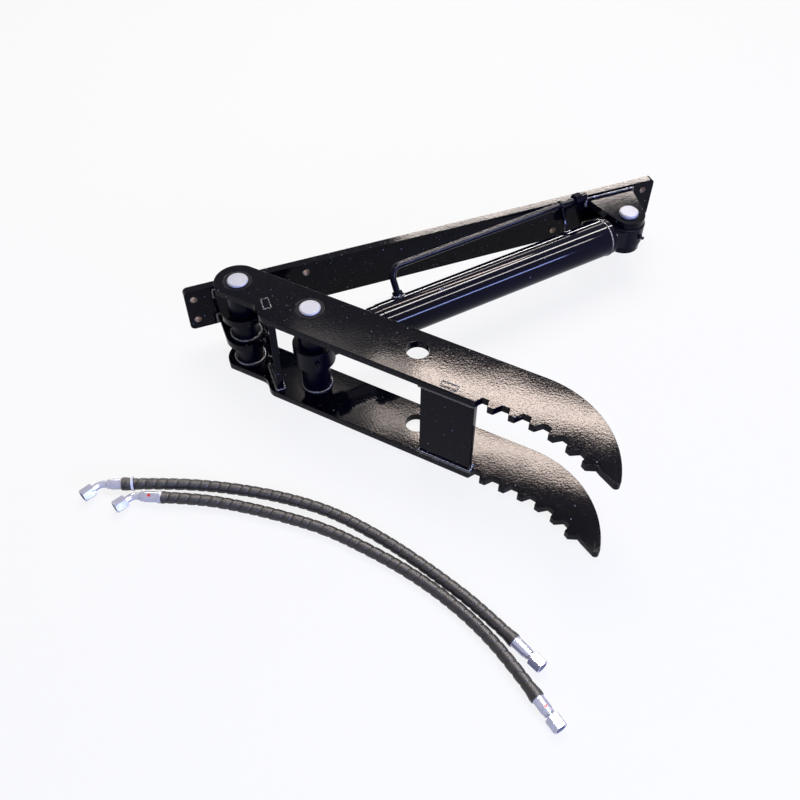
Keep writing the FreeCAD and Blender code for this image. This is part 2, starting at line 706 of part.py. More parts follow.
def tube_stay():
    """A strap on edge, welded to the barrel, with an eye round the hard tube."""
    half = stay_w / 2
    strap = Part.makeBox(stay_t, tube_reach - bore_r, stay_w, Vector(stay_s, bore_r, -half))
    eye = Part.makeCylinder(stay_eye_r, stay_t, Vector(stay_s, tube_reach, 0), Vector(1, 0, 0))
    body = strap.fuse(eye).cut(
        Part.makeCylinder(tube_r + seat_gap, stay_t, Vector(stay_s, tube_reach, 0), Vector(1, 0, 0)))
    body = body.cut(Part.makeCylinder(barrel_r + seat_gap, stay_t, Vector(stay_s, 0, 0), Vector(1, 0, 0)))
    body.rotate(Vector(0, 0, 0), Vector(1, 0, 0), port_deg)
    return in_cylinder(body)


rod_bore = rod_r + running_gap
parts["barrel"] = barrel_tube()
parts["gland"] = gland()
parts["wiper_ring"] = in_cylinder(ring(rod_bore, rod_r + 4 - seat_gap, gland_face + 0.2, gland_face + 5.8))
parts["rod_seal"] = in_cylinder(ring(rod_bore, rod_r + 5 - seat_gap, gland_face + 20.2, gland_face + 26.8))
parts["gland_o_ring"] = in_cylinder(
    ring(bore_r - 3 + seat_gap, bore_r - seal_gap, gland_face + 33.3, gland_face + 37.7))
parts["base_cap"] = base_cap()
parts["barrel_lug"] = barrel_lug()
parts["lug_bush"] = in_cylinder(
    upright_ring(bush_r, pin_r + eye_bush_wall - seat_gap, -half_eye, half_eye, closed_length))
parts["lug_nipple"] = placed_nipple(closed_length, lug_r - 0.6, lug_nipple_deg)
parts["cylinder_pin_core"] = in_cylinder(upright(pin_r, -half_eye, half_eye, closed_length))
parts["front_port_boss"] = port_boss(port_boss_top, tube_r + seat_gap, tube_socket, front_port_s, port_deg)
parts["rear_port_boss"] = port_boss(rear_boss_top, thread_r, thread_depth, rear_port_s, -port_deg)
parts["hard_tube"] = hard_tube()
parts["tube_fitting"] = tube_fitting()
parts["tube_stay"] = tube_stay()


# Loose hoses

def hose_path(points):
    """Straight runs joined by tangent arcs through a list of points in space; prints the radii."""
    edges = []
    radii = []
    last = points[0]
    for i in range(1, len(points) - 1):
        corner = points[i]
        back = points[i - 1] - corner
        ahead = points[i + 1] - corner
        reach = arc_share * min(back.Length, ahead.Length)
        back.normalize()
        ahead.normalize()
        half = back.getAngle(ahead) / 2
        radius = reach * math.tan(half)
        radii.append(radius)
        start = corner + back * reach
        end = corner + ahead * reach
        middle = corner + (back + ahead).normalize() * (radius / math.sin(half) - radius)
        edges.append(Part.LineSegment(last, start).toShape())
        edges.append(Part.Arc(start, middle, end).toShape())
        last = end
    edges.append(Part.LineSegment(last, points[-1]).toShape())
    path = Part.Wire(edges)
    print("hose length %.0f mm, smallest bend radius %.0f mm" % (path.Length, min(radii)))
    return path


def hose_points(plan):
    """Gives heights to a plan route: on the floor, and level with the fittings at both ends."""
    count = len(plan)
    heights = [hose_z] * count
    for i in (0, 1, count - 2, count - 1):
        heights[i] = fitting_z
    return [Vector(x, y, z) for (x, y), z in zip(plan, heights)]


def set_on(shape, start, way):
    """Moves a shape made along X to a start point, pointing along a level way."""
    shape.rotate(Vector(0, 0, 0), up, math.degrees(math.atan2(way.y, way.x)))
    shape.translate(start)
    return shape


def ferrule():
    """A crimped sleeve along X, from the hose's end outwards."""
    mouth = hose_r + 0.1
    end = ferrule_l
    return turned([(-ferrule_lap, mouth), (0, mouth), (0, stem_r + seat_gap), (end, stem_r + seat_gap),
                   (end, ferrule_r - 2), (end - 1, ferrule_r - 1.2), (end - ferrule_collar_l, ferrule_r - 1.2),
                   (end - ferrule_collar_l - 1, ferrule_r - 0.4), (3, ferrule_r - 0.4), (2, ferrule_r + 0.6),
                   (-ferrule_lap, ferrule_r + 0.6)])


def nut():
    """A swivel nut along X, from its collar to its mouth."""
    body = hexagon(nut_hex, 0, nut_l)
    thread_start = nut_collar_l + nut_relief_l
    bore = turned([(-1, 0), (-1, stem_r + running_gap), (nut_collar_l, stem_r + running_gap),
                   (nut_collar_l, nut_relief_r), (thread_start, nut_relief_r), (thread_start, thread_r),
                   (nut_l + 1, thread_r), (nut_l + 1, 0)])
    return body.cut(bore)


nose_start = nut_collar_l + 0.3


def stem_end(length):
    """The stem's last stretch along X, with the nose that the nut pulls on."""
    nose = length + nose_start
    return turned([(0, 0), (0, stem_r), (nose, stem_r), (nose, stem_nose_r), (nose + 2, stem_nose_r),
                   (nose + stem_nose_l, stem_nose_r - 1.6), (nose + stem_nose_l, 0)])


def straight_fitting(name, point, way):
    """Ferrule, stem and swivel nut on a hose end that runs straight out."""
    lead = ferrule_l + 3.0
    stem = stem_end(lead)
    stem = stem.cut(Part.makeCylinder(stem_bore_r, 100, Vector(-1, 0, 0), Vector(1, 0, 0)))
    parts[name + "_straight_ferrule"] = set_on(ferrule(), point, way)
    parts[name + "_straight_stem"] = set_on(stem, point, way)
    parts[name + "_straight_nut"] = set_on(nut(), point + way * lead, way)


def elbow_fitting(name, point, way):
    """The same with a bent stem, the nut turned towards the near side."""
    bend_start = ferrule_l + elbow_lead
    turn = math.radians(elbow_deg)
    bend_end = Vector(bend_start + elbow_r * math.sin(turn), elbow_r * (1 - math.cos(turn)), 0)
    middle = Vector(bend_start + elbow_r * math.sin(turn / 2), elbow_r * (1 - math.cos(turn / 2)), 0)
    out = Vector(math.cos(turn), math.sin(turn), 0)
    tail_end = bend_end + out * elbow_tail
    path = Part.Wire([Part.LineSegment(Vector(0, 0, 0), Vector(bend_start, 0, 0)).toShape(),
                      Part.Arc(Vector(bend_start, 0, 0), middle, bend_end).toShape(),
                      Part.LineSegment(bend_end, tail_end).toShape()])
    end = set_on(stem_end(0), tail_end, out)
    drill = set_on(Part.makeCylinder(stem_bore_r, 60, Vector(-0.5, 0, 0), Vector(1, 0, 0)), tail_end, out)
    stem = piped(path, stem_r).fuse(end)
    stem = stem.cut(piped(path, stem_bore_r)).cut(drill)
    turned_nut = set_on(nut(), tail_end, out)
    parts[name + "_elbow_ferrule"] = set_on(ferrule(), point, way)
    parts[name + "_elbow_stem"] = set_on(stem, point, way)
    parts[name + "_elbow_nut"] = set_on(turned_nut, point, way)


def hose(name, plan):
    points = hose_points(plan)
    path = hose_path(points)
    tube = piped(path, hose_r)
    print("%s volume over section times length %.4f" % (name, tube.Volume / (math.pi * hose_r ** 2 * path.Length)))
    parts[name + "_sleeve"] = tube
    elbow_fitting(name, points[0], (points[0] - points[1]).normalize())
    straight_fitting(name, points[-1], (points[-1] - points[-2]).normalize())


def cable_tie():
    """A strap round the start of hose A, with its head on top."""
    strap = ring(hose_r + 0.05, hose_r + tie_t, -tie_w / 2, tie_w / 2)
    head = Part.makeBox(tie_w + 1.5, 7.0, 4.5, Vector(-(tie_w + 1.5) / 2, -3.5, hose_r + 0.4))
    tail = Part.makeBox(tie_w - 1, 16.0, 1.2, Vector(-(tie_w - 1) / 2, 0, hose_r + 2.2))
    body = strap.fuse([head, tail])
    start = Vector(hose_a_points[0][0], hose_a_points[0][1], fitting_z)
    way = Vector(hose_a_points[1][0], hose_a_points[1][1], fitting_z) - start
    way.normalize()
    return set_on(body, start + way * tie_s, way)


hose("hose_a", hose_a_points)
hose("hose_b", hose_b_points)
parts["cable_tie"] = cable_tie()

os.makedirs("parts", exist_ok=True)
for node, shape in parts.items():
    solids = shape.Solids
    if not solids or not shape.isValid():
        print("check", node, len(solids), "solids, valid", shape.isValid())
    shape.exportStep(os.path.join("parts", node + ".step"))
print(len(parts), "nodes, rod pin", rod_pin, "closed length %.2f" % closed_length,
      "cylinder angle %.3f" % cylinder_rest_deg)
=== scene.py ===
import bpy
import bmesh
import json
import math
from mathutils import Matrix, Vector

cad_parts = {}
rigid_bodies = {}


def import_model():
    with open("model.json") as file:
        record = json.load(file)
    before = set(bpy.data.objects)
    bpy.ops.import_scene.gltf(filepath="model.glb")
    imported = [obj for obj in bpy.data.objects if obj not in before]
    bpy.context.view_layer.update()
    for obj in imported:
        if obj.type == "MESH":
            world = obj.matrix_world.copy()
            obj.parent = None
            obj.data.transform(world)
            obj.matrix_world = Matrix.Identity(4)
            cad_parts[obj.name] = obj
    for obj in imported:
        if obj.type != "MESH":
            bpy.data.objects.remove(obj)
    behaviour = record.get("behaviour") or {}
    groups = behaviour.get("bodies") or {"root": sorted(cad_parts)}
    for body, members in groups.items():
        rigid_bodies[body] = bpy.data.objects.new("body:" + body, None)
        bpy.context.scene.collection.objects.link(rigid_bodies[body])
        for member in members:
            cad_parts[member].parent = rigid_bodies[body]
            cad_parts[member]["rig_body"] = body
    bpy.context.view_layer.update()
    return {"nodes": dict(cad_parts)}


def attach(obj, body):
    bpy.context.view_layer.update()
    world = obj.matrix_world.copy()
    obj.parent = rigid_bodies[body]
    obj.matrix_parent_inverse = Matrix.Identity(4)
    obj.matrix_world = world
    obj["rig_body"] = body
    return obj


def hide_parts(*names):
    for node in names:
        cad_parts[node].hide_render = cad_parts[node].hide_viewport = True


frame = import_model()
nodes = frame["nodes"]
bodyOf = {name: node["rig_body"] for name, node in nodes.items()}
slotOf = {name: node.data.materials[0].name.split(".")[0] for name, node in nodes.items()}
mm = 0.001
print("frame loaded:", len(nodes), "nodes")


# Camera, fitted to the photograph: place in metres, angles in degrees, lens and sensor in millimetres
camera = {"place": (-0.12862, -1.06377, 0.96127), "yaw": 20.601, "pitch": 49.279, "roll": -0.066, "lens": 41.213,
          "sensor": 36.0, "near": 0.01, "far": 30.0}


def placedAt(axes, place):
    # a matrix from three axes and a place
    m = Matrix.Identity(4)
    for column, axis in enumerate(axes):
        for row in range(3):
            m[row][column] = axis[row]
    m.translation = Vector(place)
    return m


def intoScene(name, data):
    obj = bpy.data.objects.new(name, data)
    bpy.context.scene.collection.objects.link(obj)
    return obj


def buildCamera(c):
    yaw, pitch, roll = (math.radians(c[k]) for k in ("yaw", "pitch", "roll"))
    forward = Vector((math.sin(yaw) * math.cos(pitch), math.cos(yaw) * math.cos(pitch), -math.sin(pitch)))
    right = Vector((math.cos(yaw), -math.sin(yaw), 0))
    up = right.cross(forward)
    rightR = math.cos(roll) * right + math.sin(roll) * up
    upR = -math.sin(roll) * right + math.cos(roll) * up
    data = bpy.data.cameras.new("camera")
    data.lens, data.sensor_width, data.sensor_fit = c["lens"], c["sensor"], "HORIZONTAL"
    data.clip_start, data.clip_end = c["near"], c["far"]
    obj = intoScene("camera", data)
    obj.matrix_world = placedAt((rightR, upR, -forward), c["place"])
    bpy.context.scene.camera = obj


buildCamera(camera)
bpy.context.scene.view_settings.view_transform = "Standard"
print("camera set")


# Shader node groups shared by several finishes
def newGroup(name, inputs, outputs):
    group = bpy.data.node_groups.new(name, "ShaderNodeTree")
    for label, kind, value in inputs:
        socket = group.interface.new_socket(name=label, in_out="INPUT", socket_type="NodeSocket" + kind)
        if value is not None:
            socket.default_value = value
    for label, kind in outputs:
        group.interface.new_socket(name=label, in_out="OUTPUT", socket_type="NodeSocket" + kind)
    start, end = group.nodes.new("NodeGroupInput"), group.nodes.new("NodeGroupOutput")
    return group, start, end


def mathNode(tree, operation, a, b=None, c=None, clamp=False):
    node = tree.nodes.new("ShaderNodeMath")
    node.operation, node.use_clamp = operation, clamp
    for i, value in enumerate((a, b, c)):
        if value is None:
            continue
        if isinstance(value, (int, float)):
            node.inputs[i].default_value = value
        else:
            tree.links.new(value, node.inputs[i])
    return node.outputs[0]


def mixColour(tree, mask, first, second):
    node = tree.nodes.new("ShaderNodeMix")
    node.data_type = "RGBA"
    tree.links.new(mask, node.inputs[0])
    for i, value in ((6, first), (7, second)):
        if isinstance(value, tuple):
            node.inputs[i].default_value = value
        else:
            tree.links.new(value, node.inputs[i])
    return node.outputs[2]


# Marks in the paint: scales per metre, and the level at which a noise or a cell turns into a mark
paintMarks = {"waveScale": 14.0, "glossScale": 22.0, "cellScale": 130.0, "dotSize": 0.11, "markRoughness": 0.4,
              "patchScale": 9.0, "patchLevel": 0.52, "chipScale": 300.0, "chipLevel": 0.69,
              "gritScale": 480.0, "gritLevel": 0.61}


def sprayedPaint(m):
    # orange peel of a thick sprayed coat, with pale specks that are partly dust and rubbed paint and partly painted
    # glints
    group, start, end = newGroup("sprayedPaint", [
        ("Vector", "Vector", None), ("Peel Scale", "Float", 330.0), ("Grain Scale", "Float", 620.0),
        ("Grain Share", "Float", 0.35), ("Wave Share", "Float", 6.0), ("Coat", "Color", (0.004, 0.004, 0.005, 1)),
        ("Dust", "Color", (0.3, 0.3, 0.33, 1)), ("Dust Amount", "Float", 0.09), ("Chips", "Float", 0.5),
        ("Gloss", "Float", 0.24), ("Gloss Change", "Float", 0.14), ("Dot Height", "Float", 0.0)],
        [("Color", "Color"), ("Roughness", "Float"), ("Height", "Float")])

    def noise(scale, detail, rough=0.5):
        node = group.nodes.new("ShaderNodeTexNoise")
        node.inputs["Detail"].default_value, node.inputs["Roughness"].default_value = detail, rough
        group.links.new(start.outputs["Vector"], node.inputs["Vector"])
        if isinstance(scale, float):
            node.inputs["Scale"].default_value = scale
        else:
            group.links.new(scale, node.inputs["Scale"])
        return node.outputs["Fac"]

    peel = noise(start.outputs["Peel Scale"], 2.0)
    grain = noise(start.outputs["Grain Scale"], 1.0)
    rough = mathNode(group, "MULTIPLY_ADD", grain, start.outputs["Grain Share"], peel)
    wavy = mathNode(group, "MULTIPLY_ADD", noise(m["waveScale"], 1.0), start.outputs["Wave Share"], rough)
    cells = group.nodes.new("ShaderNodeTexVoronoi")
    cells.inputs["Scale"].default_value = m["cellScale"]
    group.links.new(start.outputs["Vector"], cells.inputs["Vector"])
    small = mathNode(group, "LESS_THAN", cells.outputs["Distance"], m["dotSize"])
    split = group.nodes.new("ShaderNodeSeparateColor")
    group.links.new(cells.outputs["Color"], split.inputs[0])
    few = mathNode(group, "LESS_THAN", split.outputs[0], start.outputs["Dust Amount"])
    dustAndGlintSpecks = mathNode(group, "MULTIPLY", small, few)
    cloud = noise(m["glossScale"], 3.0)
    patch = mathNode(group, "GREATER_THAN", noise(m["patchScale"], 2.0), m["patchLevel"])
    chipAndGlintMask = mathNode(group, "GREATER_THAN", noise(m["chipScale"], 3.0, 0.6), m["chipLevel"])
    rare = mathNode(group, "MULTIPLY", chipAndGlintMask, patch)
    dustAndGlintSpecks = mathNode(group, "MAXIMUM", dustAndGlintSpecks, mathNode(group, "MULTIPLY", rare, start.outputs["Chips"]))
    grit = mathNode(group, "GREATER_THAN", noise(m["gritScale"], 2.0), m["gritLevel"])
    grit = mathNode(group, "MULTIPLY", grit, start.outputs["Dot Height"])
    group.links.new(mathNode(group, "ADD", wavy, grit), end.inputs["Height"])
    # pale specks in the colour: partly dust and rubbed paint, partly painted glints
    group.links.new(mixColour(group, dustAndGlintSpecks, start.outputs["Coat"], start.outputs["Dust"]), end.inputs["Color"])
    change = mathNode(group, "SUBTRACT", cloud, 0.5)
    gloss = mathNode(group, "MULTIPLY_ADD", change, start.outputs["Gloss Change"], start.outputs["Gloss"])
    group.links.new(mathNode(group, "MULTIPLY_ADD", dustAndGlintSpecks, m["markRoughness"], gloss, True), end.inputs["Roughness"])
    return group


# Tool lines: how they wander, which part of each is the furrow, and its colour
toolLines = {"detail": 1.0, "detailScale": 0.6, "cloudScale": 120.0, "furrow": 0.3, "furrowColour": (0.2, 0.2, 0.24, 1)}


def toolMarks(t):
    # fine parallel lines that a tool leaves on plated or bare steel
    group, start, end = newGroup("toolMarks", [
        ("Vector", "Vector", None), ("Line Scale", "Float", 900.0), ("Wander", "Float", 1.5),
        ("Bright", "Color", (0.8, 0.8, 0.83, 1)), ("Dull", "Color", (0.55, 0.56, 0.6, 1)),
        ("Gloss", "Float", 0.25), ("Gloss Change", "Float", 0.2), ("Line Shade", "Float", 0.0)],
        [("Color", "Color"), ("Roughness", "Float"), ("Height", "Float")])
    lines = group.nodes.new("ShaderNodeTexWave")
    lines.bands_direction = "DIAGONAL"
    lines.inputs["Detail"].default_value, lines.inputs["Detail Scale"].default_value = t["detail"], t["detailScale"]
    group.links.new(start.outputs["Vector"], lines.inputs["Vector"])
    group.links.new(start.outputs["Line Scale"], lines.inputs["Scale"])
    group.links.new(start.outputs["Wander"], lines.inputs["Distortion"])
    cloud = group.nodes.new("ShaderNodeTexNoise")
    cloud.inputs["Scale"].default_value, cloud.inputs["Detail"].default_value = t["cloudScale"], 3.0
    group.links.new(start.outputs["Vector"], cloud.inputs["Vector"])
    metal = mixColour(group, cloud.outputs["Fac"], start.outputs["Dull"], start.outputs["Bright"])
    furrow = mathNode(group, "LESS_THAN", lines.outputs["Fac"], t["furrow"])
    furrow = mathNode(group, "MULTIPLY", furrow, start.outputs["Line Shade"])
    group.links.new(mixColour(group, furrow, metal, t["furrowColour"]), end.inputs["Color"])
    change = mathNode(group, "SUBTRACT", cloud.outputs["Fac"], 0.5)
    gloss = mathNode(group, "MULTIPLY_ADD", change, start.outputs["Gloss Change"], start.outputs["Gloss"], True)
    group.links.new(gloss, end.inputs["Roughness"])
    group.links.new(lines.outputs["Fac"], end.inputs["Height"])
    return group


paintGroup, markGroup = sprayedPaint(paintMarks), toolMarks(toolLines)


def finish(name, group, values, bump, distance, metallic=0.0, specular=0.5):
    # values go to the group's inputs; bump is the relief's share and distance its height in metres
    material = bpy.data.materials.new(name)
    material.use_nodes = True
    tree = material.node_tree
    shader = tree.nodes["Principled BSDF"]
    shader.inputs["Metallic"].default_value = metallic
    shader.inputs["Specular IOR Level"].default_value = specular
    place = tree.nodes.new("ShaderNodeTexCoord")
    look = tree.nodes.new("ShaderNodeGroup")
    look.node_tree = group
    for label, value in values.items():
        look.inputs[label].default_value = value
    tree.links.new(place.outputs["Object"], look.inputs["Vector"])
    tree.links.new(look.outputs["Color"], shader.inputs["Base Color"])
    tree.links.new(look.outputs["Roughness"], shader.inputs["Roughness"])
    relief = tree.nodes.new("ShaderNodeBump")
    relief.inputs["Strength"].default_value, relief.inputs["Distance"].default_value = bump, distance
    tree.links.new(look.outputs["Height"], relief.inputs["Height"])
    tree.links.new(relief.outputs["Normal"], shader.inputs["Normal"])
    return material


def plainFinish(name, colour, roughness, metallic=0.0, specular=0.5):
    material = bpy.data.materials.new(name)
    material.use_nodes = True
    shader = material.node_tree.nodes["Principled BSDF"]
    shader.inputs["Base Color"].default_value = colour
    shader.inputs["Roughness"].default_value = roughness
    shader.inputs["Metallic"].default_value = metallic
    shader.inputs["Specular IOR Level"].default_value = specular
    return material


# What a user would change in each finish; plated fittings and the ones with paint on them share theirs
# The blue in each black coat here is painted blue light, as from the low blue lamp on the sides; it is strongest in the
# smooth coat of the cylinder and in the weld coat.
glossBlack = {"Coat": (0.0006, 0.0008, 0.0045, 1), "Gloss": 0.06, "Gloss Change": 0.05, "Dot Height": 2.6}
smoothBlack = {"Coat": (0.0008, 0.001, 0.009, 1), "Gloss": 0.06, "Gloss Change": 0.04, "Peel Scale": 30.0,
               "Grain Share": 0.0, "Wave Share": 0.0, "Dust Amount": 0.02, "Chips": 0.2}
castBlack = {"Coat": (0.0008, 0.001, 0.006, 1), "Gloss": 0.32, "Gloss Change": 0.2, "Dust Amount": 0.02, "Chips": 0.2}
# On the weld beads the bluish specks in half the cells are painted blue-white glints, and the brighter blue of the coat
# is painted blue sheen.
weldBlack = {"Coat": (0.003, 0.003, 0.016, 1), "Gloss": 0.14, "Dust": (0.5, 0.5, 0.7, 1), "Dust Amount": 0.5,
             "Chips": 0.0}
turnedZinc = {"Bright": (0.60, 0.60, 0.61, 1), "Dull": (0.50, 0.51, 0.54, 1), "Line Scale": 150.0,
              "Gloss": 0.4, "Gloss Change": 0.1, "Line Shade": 0.3}
oiledSteel = {"Bright": (0.5, 0.5, 0.52, 1), "Dull": (0.3, 0.3, 0.31, 1)}
blackOxide = {"Bright": (0.12, 0.12, 0.13, 1), "Dull": (0.05, 0.05, 0.055, 1), "Gloss": 0.32}
platedSteel = {"Bright": (0.56, 0.56, 0.62, 1), "Dull": (0.36, 0.36, 0.46, 1), "Line Scale": 500.0, "Gloss": 0.2}


def platedFinish(name):
    return finish(name, markGroup, platedSteel, 0.25, 0.0002, 0.6, specular=0.3)


finishes = {
    "black_paint": finish("blackGlossPaint", paintGroup, glossBlack, 1.0, 0.000045, specular=0.07),
    "zinc_pin": finish("turnedZincPin", markGroup, turnedZinc, 0.3, 0.0002, 0.1, specular=0.1),
    "chrome_rod": plainFinish("hardChrome", (0.84, 0.85, 0.87, 1), 0.07, 1.0),
    "plain_steel": finish("oiledSteel", markGroup, oiledSteel, 0.3, 0.0002, 1.0),
    "black_steel": finish("blackOxide", markGroup, blackOxide, 0.3, 0.0002, 1.0),
    "zinc_fitting": platedFinish("platedFitting"),
    "bush_bronze": plainFinish("sinteredBronze", (0.5, 0.33, 0.16, 1), 0.4, 1.0),
    "seal_rubber": plainFinish("sealRubber", (0.01, 0.01, 0.011, 1), 0.6),
    "guide_plastic": plainFinish("guidePlastic", (0.2, 0.09, 0.03, 1), 0.5),
    "tie_white": plainFinish("whiteNylon", (0.78, 0.78, 0.77, 1), 0.4),
}
smoothPaint = finish("blackSmoothPaint", paintGroup, smoothBlack, 0.1, 0.0001, specular=0.09)
castPaint = finish("blackCastPaint", paintGroup, castBlack, 1.0, 0.00012, specular=0.08)
weldPaint = finish("blackWeldPaint", paintGroup, weldBlack, 0.8, 0.0002, specular=0.9)
holeRust = plainFinish("primedHole", (0.33, 0.22, 0.17, 1), 0.6)

# The wrapped hose guard's plastic: colours of its body and of the painted shade down in its joints, ribs across each
# wrap in radians per metre
guard = {"dark": (0.0105, 0.0085, 0.0085, 1), "light": (0.035, 0.0285, 0.027, 1), "joint": (0.002, 0.002, 0.003, 1),
         "jointPower": 3.6, "ribs": 4200.0, "cloudScale": 90.0, "gloss": 0.32, "glossChange": 0.2,
         "specular": 0.4, "bump": 0.6, "relief": 0.0003}


def sleeveFinish(g):
    # brown-black plastic, with painted shade making it darker down in the joints, and fine ribs across each wrap
    material = bpy.data.materials.new("spiralSleeve")
    material.use_nodes = True
    tree = material.node_tree
    shader = tree.nodes["Principled BSDF"]
    shader.inputs["Specular IOR Level"].default_value = g["specular"]
    wrap = tree.nodes.new("ShaderNodeAttribute")
    wrap.attribute_name = "wrapPlace"
    run = tree.nodes.new("ShaderNodeAttribute")
    run.attribute_name = "runLength"
    off = mathNode(tree, "ABSOLUTE", mathNode(tree, "MULTIPLY_ADD", wrap.outputs["Fac"], 2.0, -1.0))
    edge = mathNode(tree, "POWER", off, g["jointPower"])
    ribs = mathNode(tree, "SINE", mathNode(tree, "MULTIPLY", run.outputs["Fac"], g["ribs"]))
    place = tree.nodes.new("ShaderNodeTexCoord")
    cloud = tree.nodes.new("ShaderNodeTexNoise")
    cloud.inputs["Scale"].default_value, cloud.inputs["Detail"].default_value = g["cloudScale"], 3.0
    tree.links.new(place.outputs["Object"], cloud.inputs["Vector"])
    body = mixColour(tree, cloud.outputs["Fac"], g["dark"], g["light"])
    # painted shade: the colour darkens towards the joint between wraps
    tree.links.new(mixColour(tree, edge, body, g["joint"]), shader.inputs["Base Color"])
    gloss = mathNode(tree, "MULTIPLY_ADD", cloud.outputs["Fac"], g["glossChange"], g["gloss"])
    tree.links.new(gloss, shader.inputs["Roughness"])
    relief = tree.nodes.new("ShaderNodeBump")
    relief.inputs["Strength"].default_value, relief.inputs["Distance"].default_value = g["bump"], g["relief"]
    tree.links.new(mathNode(tree, "MULTIPLY_ADD", ribs, 0.5, cloud.outputs["Fac"]), relief.inputs["Height"])
    tree.links.new(relief.outputs["Normal"], shader.inputs["Normal"])
    return material


finishes["hose_sleeve"] = sleeveFinish(guard)

# The fitter's dabs of red paint, in millimetres; ragged is how far the noise eats into a dab's rim
markRed = {"colour": (0.75, 0.03, 0.03, 1), "size": 2.1, "ragged": 2.8, "raggedScale": 400.0,
           "places": ((185.2, -651.0, -68.0), (175.3, -729.5, -65.5), (-197.0, -275.6, -65.5))}


def dabbed(name, m):
    material = platedFinish(name)
    tree = material.node_tree
    place = tree.nodes.new("ShaderNodeTexCoord")
    edge = tree.nodes.new("ShaderNodeTexNoise")
    edge.inputs["Scale"].default_value = m["raggedScale"]
    tree.links.new(place.outputs["Object"], edge.inputs["Vector"])
    mask, reach = 0.0, (m["size"] + m["ragged"] / 2) * mm
    for point in m["places"]:
        away = tree.nodes.new("ShaderNodeVectorMath")
        away.operation = "DISTANCE"
        tree.links.new(place.outputs["Object"], away.inputs[0])
        away.inputs[1].default_value = [v * mm for v in point]
        ragged = mathNode(tree, "MULTIPLY_ADD", edge.outputs["Fac"], m["ragged"] * mm, away.outputs["Value"])
        mask = mathNode(tree, "MAXIMUM", mathNode(tree, "LESS_THAN", ragged, reach), mask)
    socket = tree.nodes["Principled BSDF"].inputs["Base Color"]
    plain = socket.links[0].from_socket
    tree.links.new(mixColour(tree, mask, plain, m["colour"]), socket)
    return material


dabbedFitting = dabbed("dabbedFitting", markRed)
print("finishes made")

for name, node in nodes.items():
    node.data.materials.clear()
    node.data.materials.append(finishes[slotOf[name]])


# How edges are found and broken: angles in degrees, the distance that merges points in metres
edges = {"merge": 2e-6, "flat": 0.4, "sharp": 34, "shade": 38, "segments": 2, "normalWeight": 80}

# Every visible CAD piece gets a copy with broken edges, because real plate and turned parts catch light there.
# Widths in millimetres.
edgeWork = {
    "thumb_plate_upper": 0.7, "thumb_plate_lower": 0.7, "stiffener": 0.6, "cross_plate": 0.6,
    "pivot_boss_upper": 1.4, "pivot_boss_lower": 1.4, "rod_boss_upper": 1.4, "rod_boss_lower": 1.4,
    "pivot_pin": 0.3, "rod_pin": 0.3, "thumb_spring_pins": 0.3,
    "mounting_bar": 0.7, "pivot_ear_upper": 0.7, "pivot_ear_lower": 0.7, "hinge_tube": 0.5,
    "cylinder_ear_upper": 0.7, "cylinder_ear_lower": 0.7, "cylinder_pin_journals": 0.3, "ear_spring_pin": 0.3,
    "rod_eye": 0.6, "rod_eye_nipple": 0.15, "piston_rod": 0.3,
    "barrel": 0.4, "gland": 0.5, "base_cap": 0.7, "barrel_lug": 0.7, "lug_nipple": 0.15, "cylinder_pin_core": 0.3,
    "rear_port_boss": 0.5, "hard_tube": 0.2, "tube_fitting": 0.3,
}
for hoseName in ("hose_a", "hose_b"):
    edgeWork.update({hoseName + end: width for end, width in (
        ("_elbow_ferrule", 0.4), ("_elbow_stem", 0.2), ("_elbow_nut", 0.5),
        ("_straight_ferrule", 0.4), ("_straight_stem", 0.2), ("_straight_nut", 0.5))})


def camel(name):
    first, *rest = name.split("_")
    return first + "".join(word.capitalize() for word in rest)


def settleMesh(obj):
    # modifiers become plain mesh, so that nothing live is left on the piece
    graph = bpy.context.evaluated_depsgraph_get()
    made = bpy.data.meshes.new_from_object(obj.evaluated_get(graph), preserve_all_data_layers=True, depsgraph=graph)
    obj.modifiers.clear()
    obj.data = made
    return obj


def shadedMesh(work, mesh):
    for face in work.faces:
        face.smooth = True
    work.to_mesh(mesh)
    work.free()
    mesh.set_sharp_from_angle(angle=math.radians(edges["shade"]))


def bevelEdges(work, width):
    sharp = [e for e in work.edges if len(e.link_faces) == 2 and e.is_convex
             and e.calc_face_angle(0) > math.radians(edges["sharp"])]
    bmesh.ops.bevel(work, geom=sharp, offset=width * mm, offset_type="OFFSET", segments=edges["segments"], profile=0.5,
                    affect="EDGES", clamp_overlap=True)


# Pieces whose finish isn't their slot's: tube and turned work, cast and rough work, and the fittings with red paint
otherPaint = {}
for finishHere, names in (
        (smoothPaint, ("barrel", "gland", "base_cap", "rear_port_boss", "hard_tube", "tube_fitting")),
        (castPaint, ("barrel_lug", "rod_eye", "hinge_tube", "rod_eye_nipple", "lug_nipple",
                     "pivot_boss_upper", "pivot_boss_lower", "rod_boss_upper", "rod_boss_lower")),
        (dabbedFitting, ("hose_a_straight_ferrule", "hose_b_straight_ferrule", "hose_b_elbow_ferrule"))):
    otherPaint.update({name: finishHere for name in names})

# The bar's holes that show their drilled walls: places along and across the bar, in millimetres
barHoles = {"places": ((-63, -20), (-63, 20), (113, 20), (113, -20), (541, -20), (705, 20), (705, -20)), "radius": 5.6}


def openHoles(piece, h):
    # the walls are drilled through the paint; faces that look along the holes are the bar's own
    piece.data.materials.append(holeRust)
    for face in piece.data.polygons:
        if abs(face.normal.y) > 0.5:
            continue
        c = face.center
        if any(math.hypot(c.x / mm - x, c.z / mm - z) < h["radius"] for x, z in h["places"]):
            face.material_index = 1


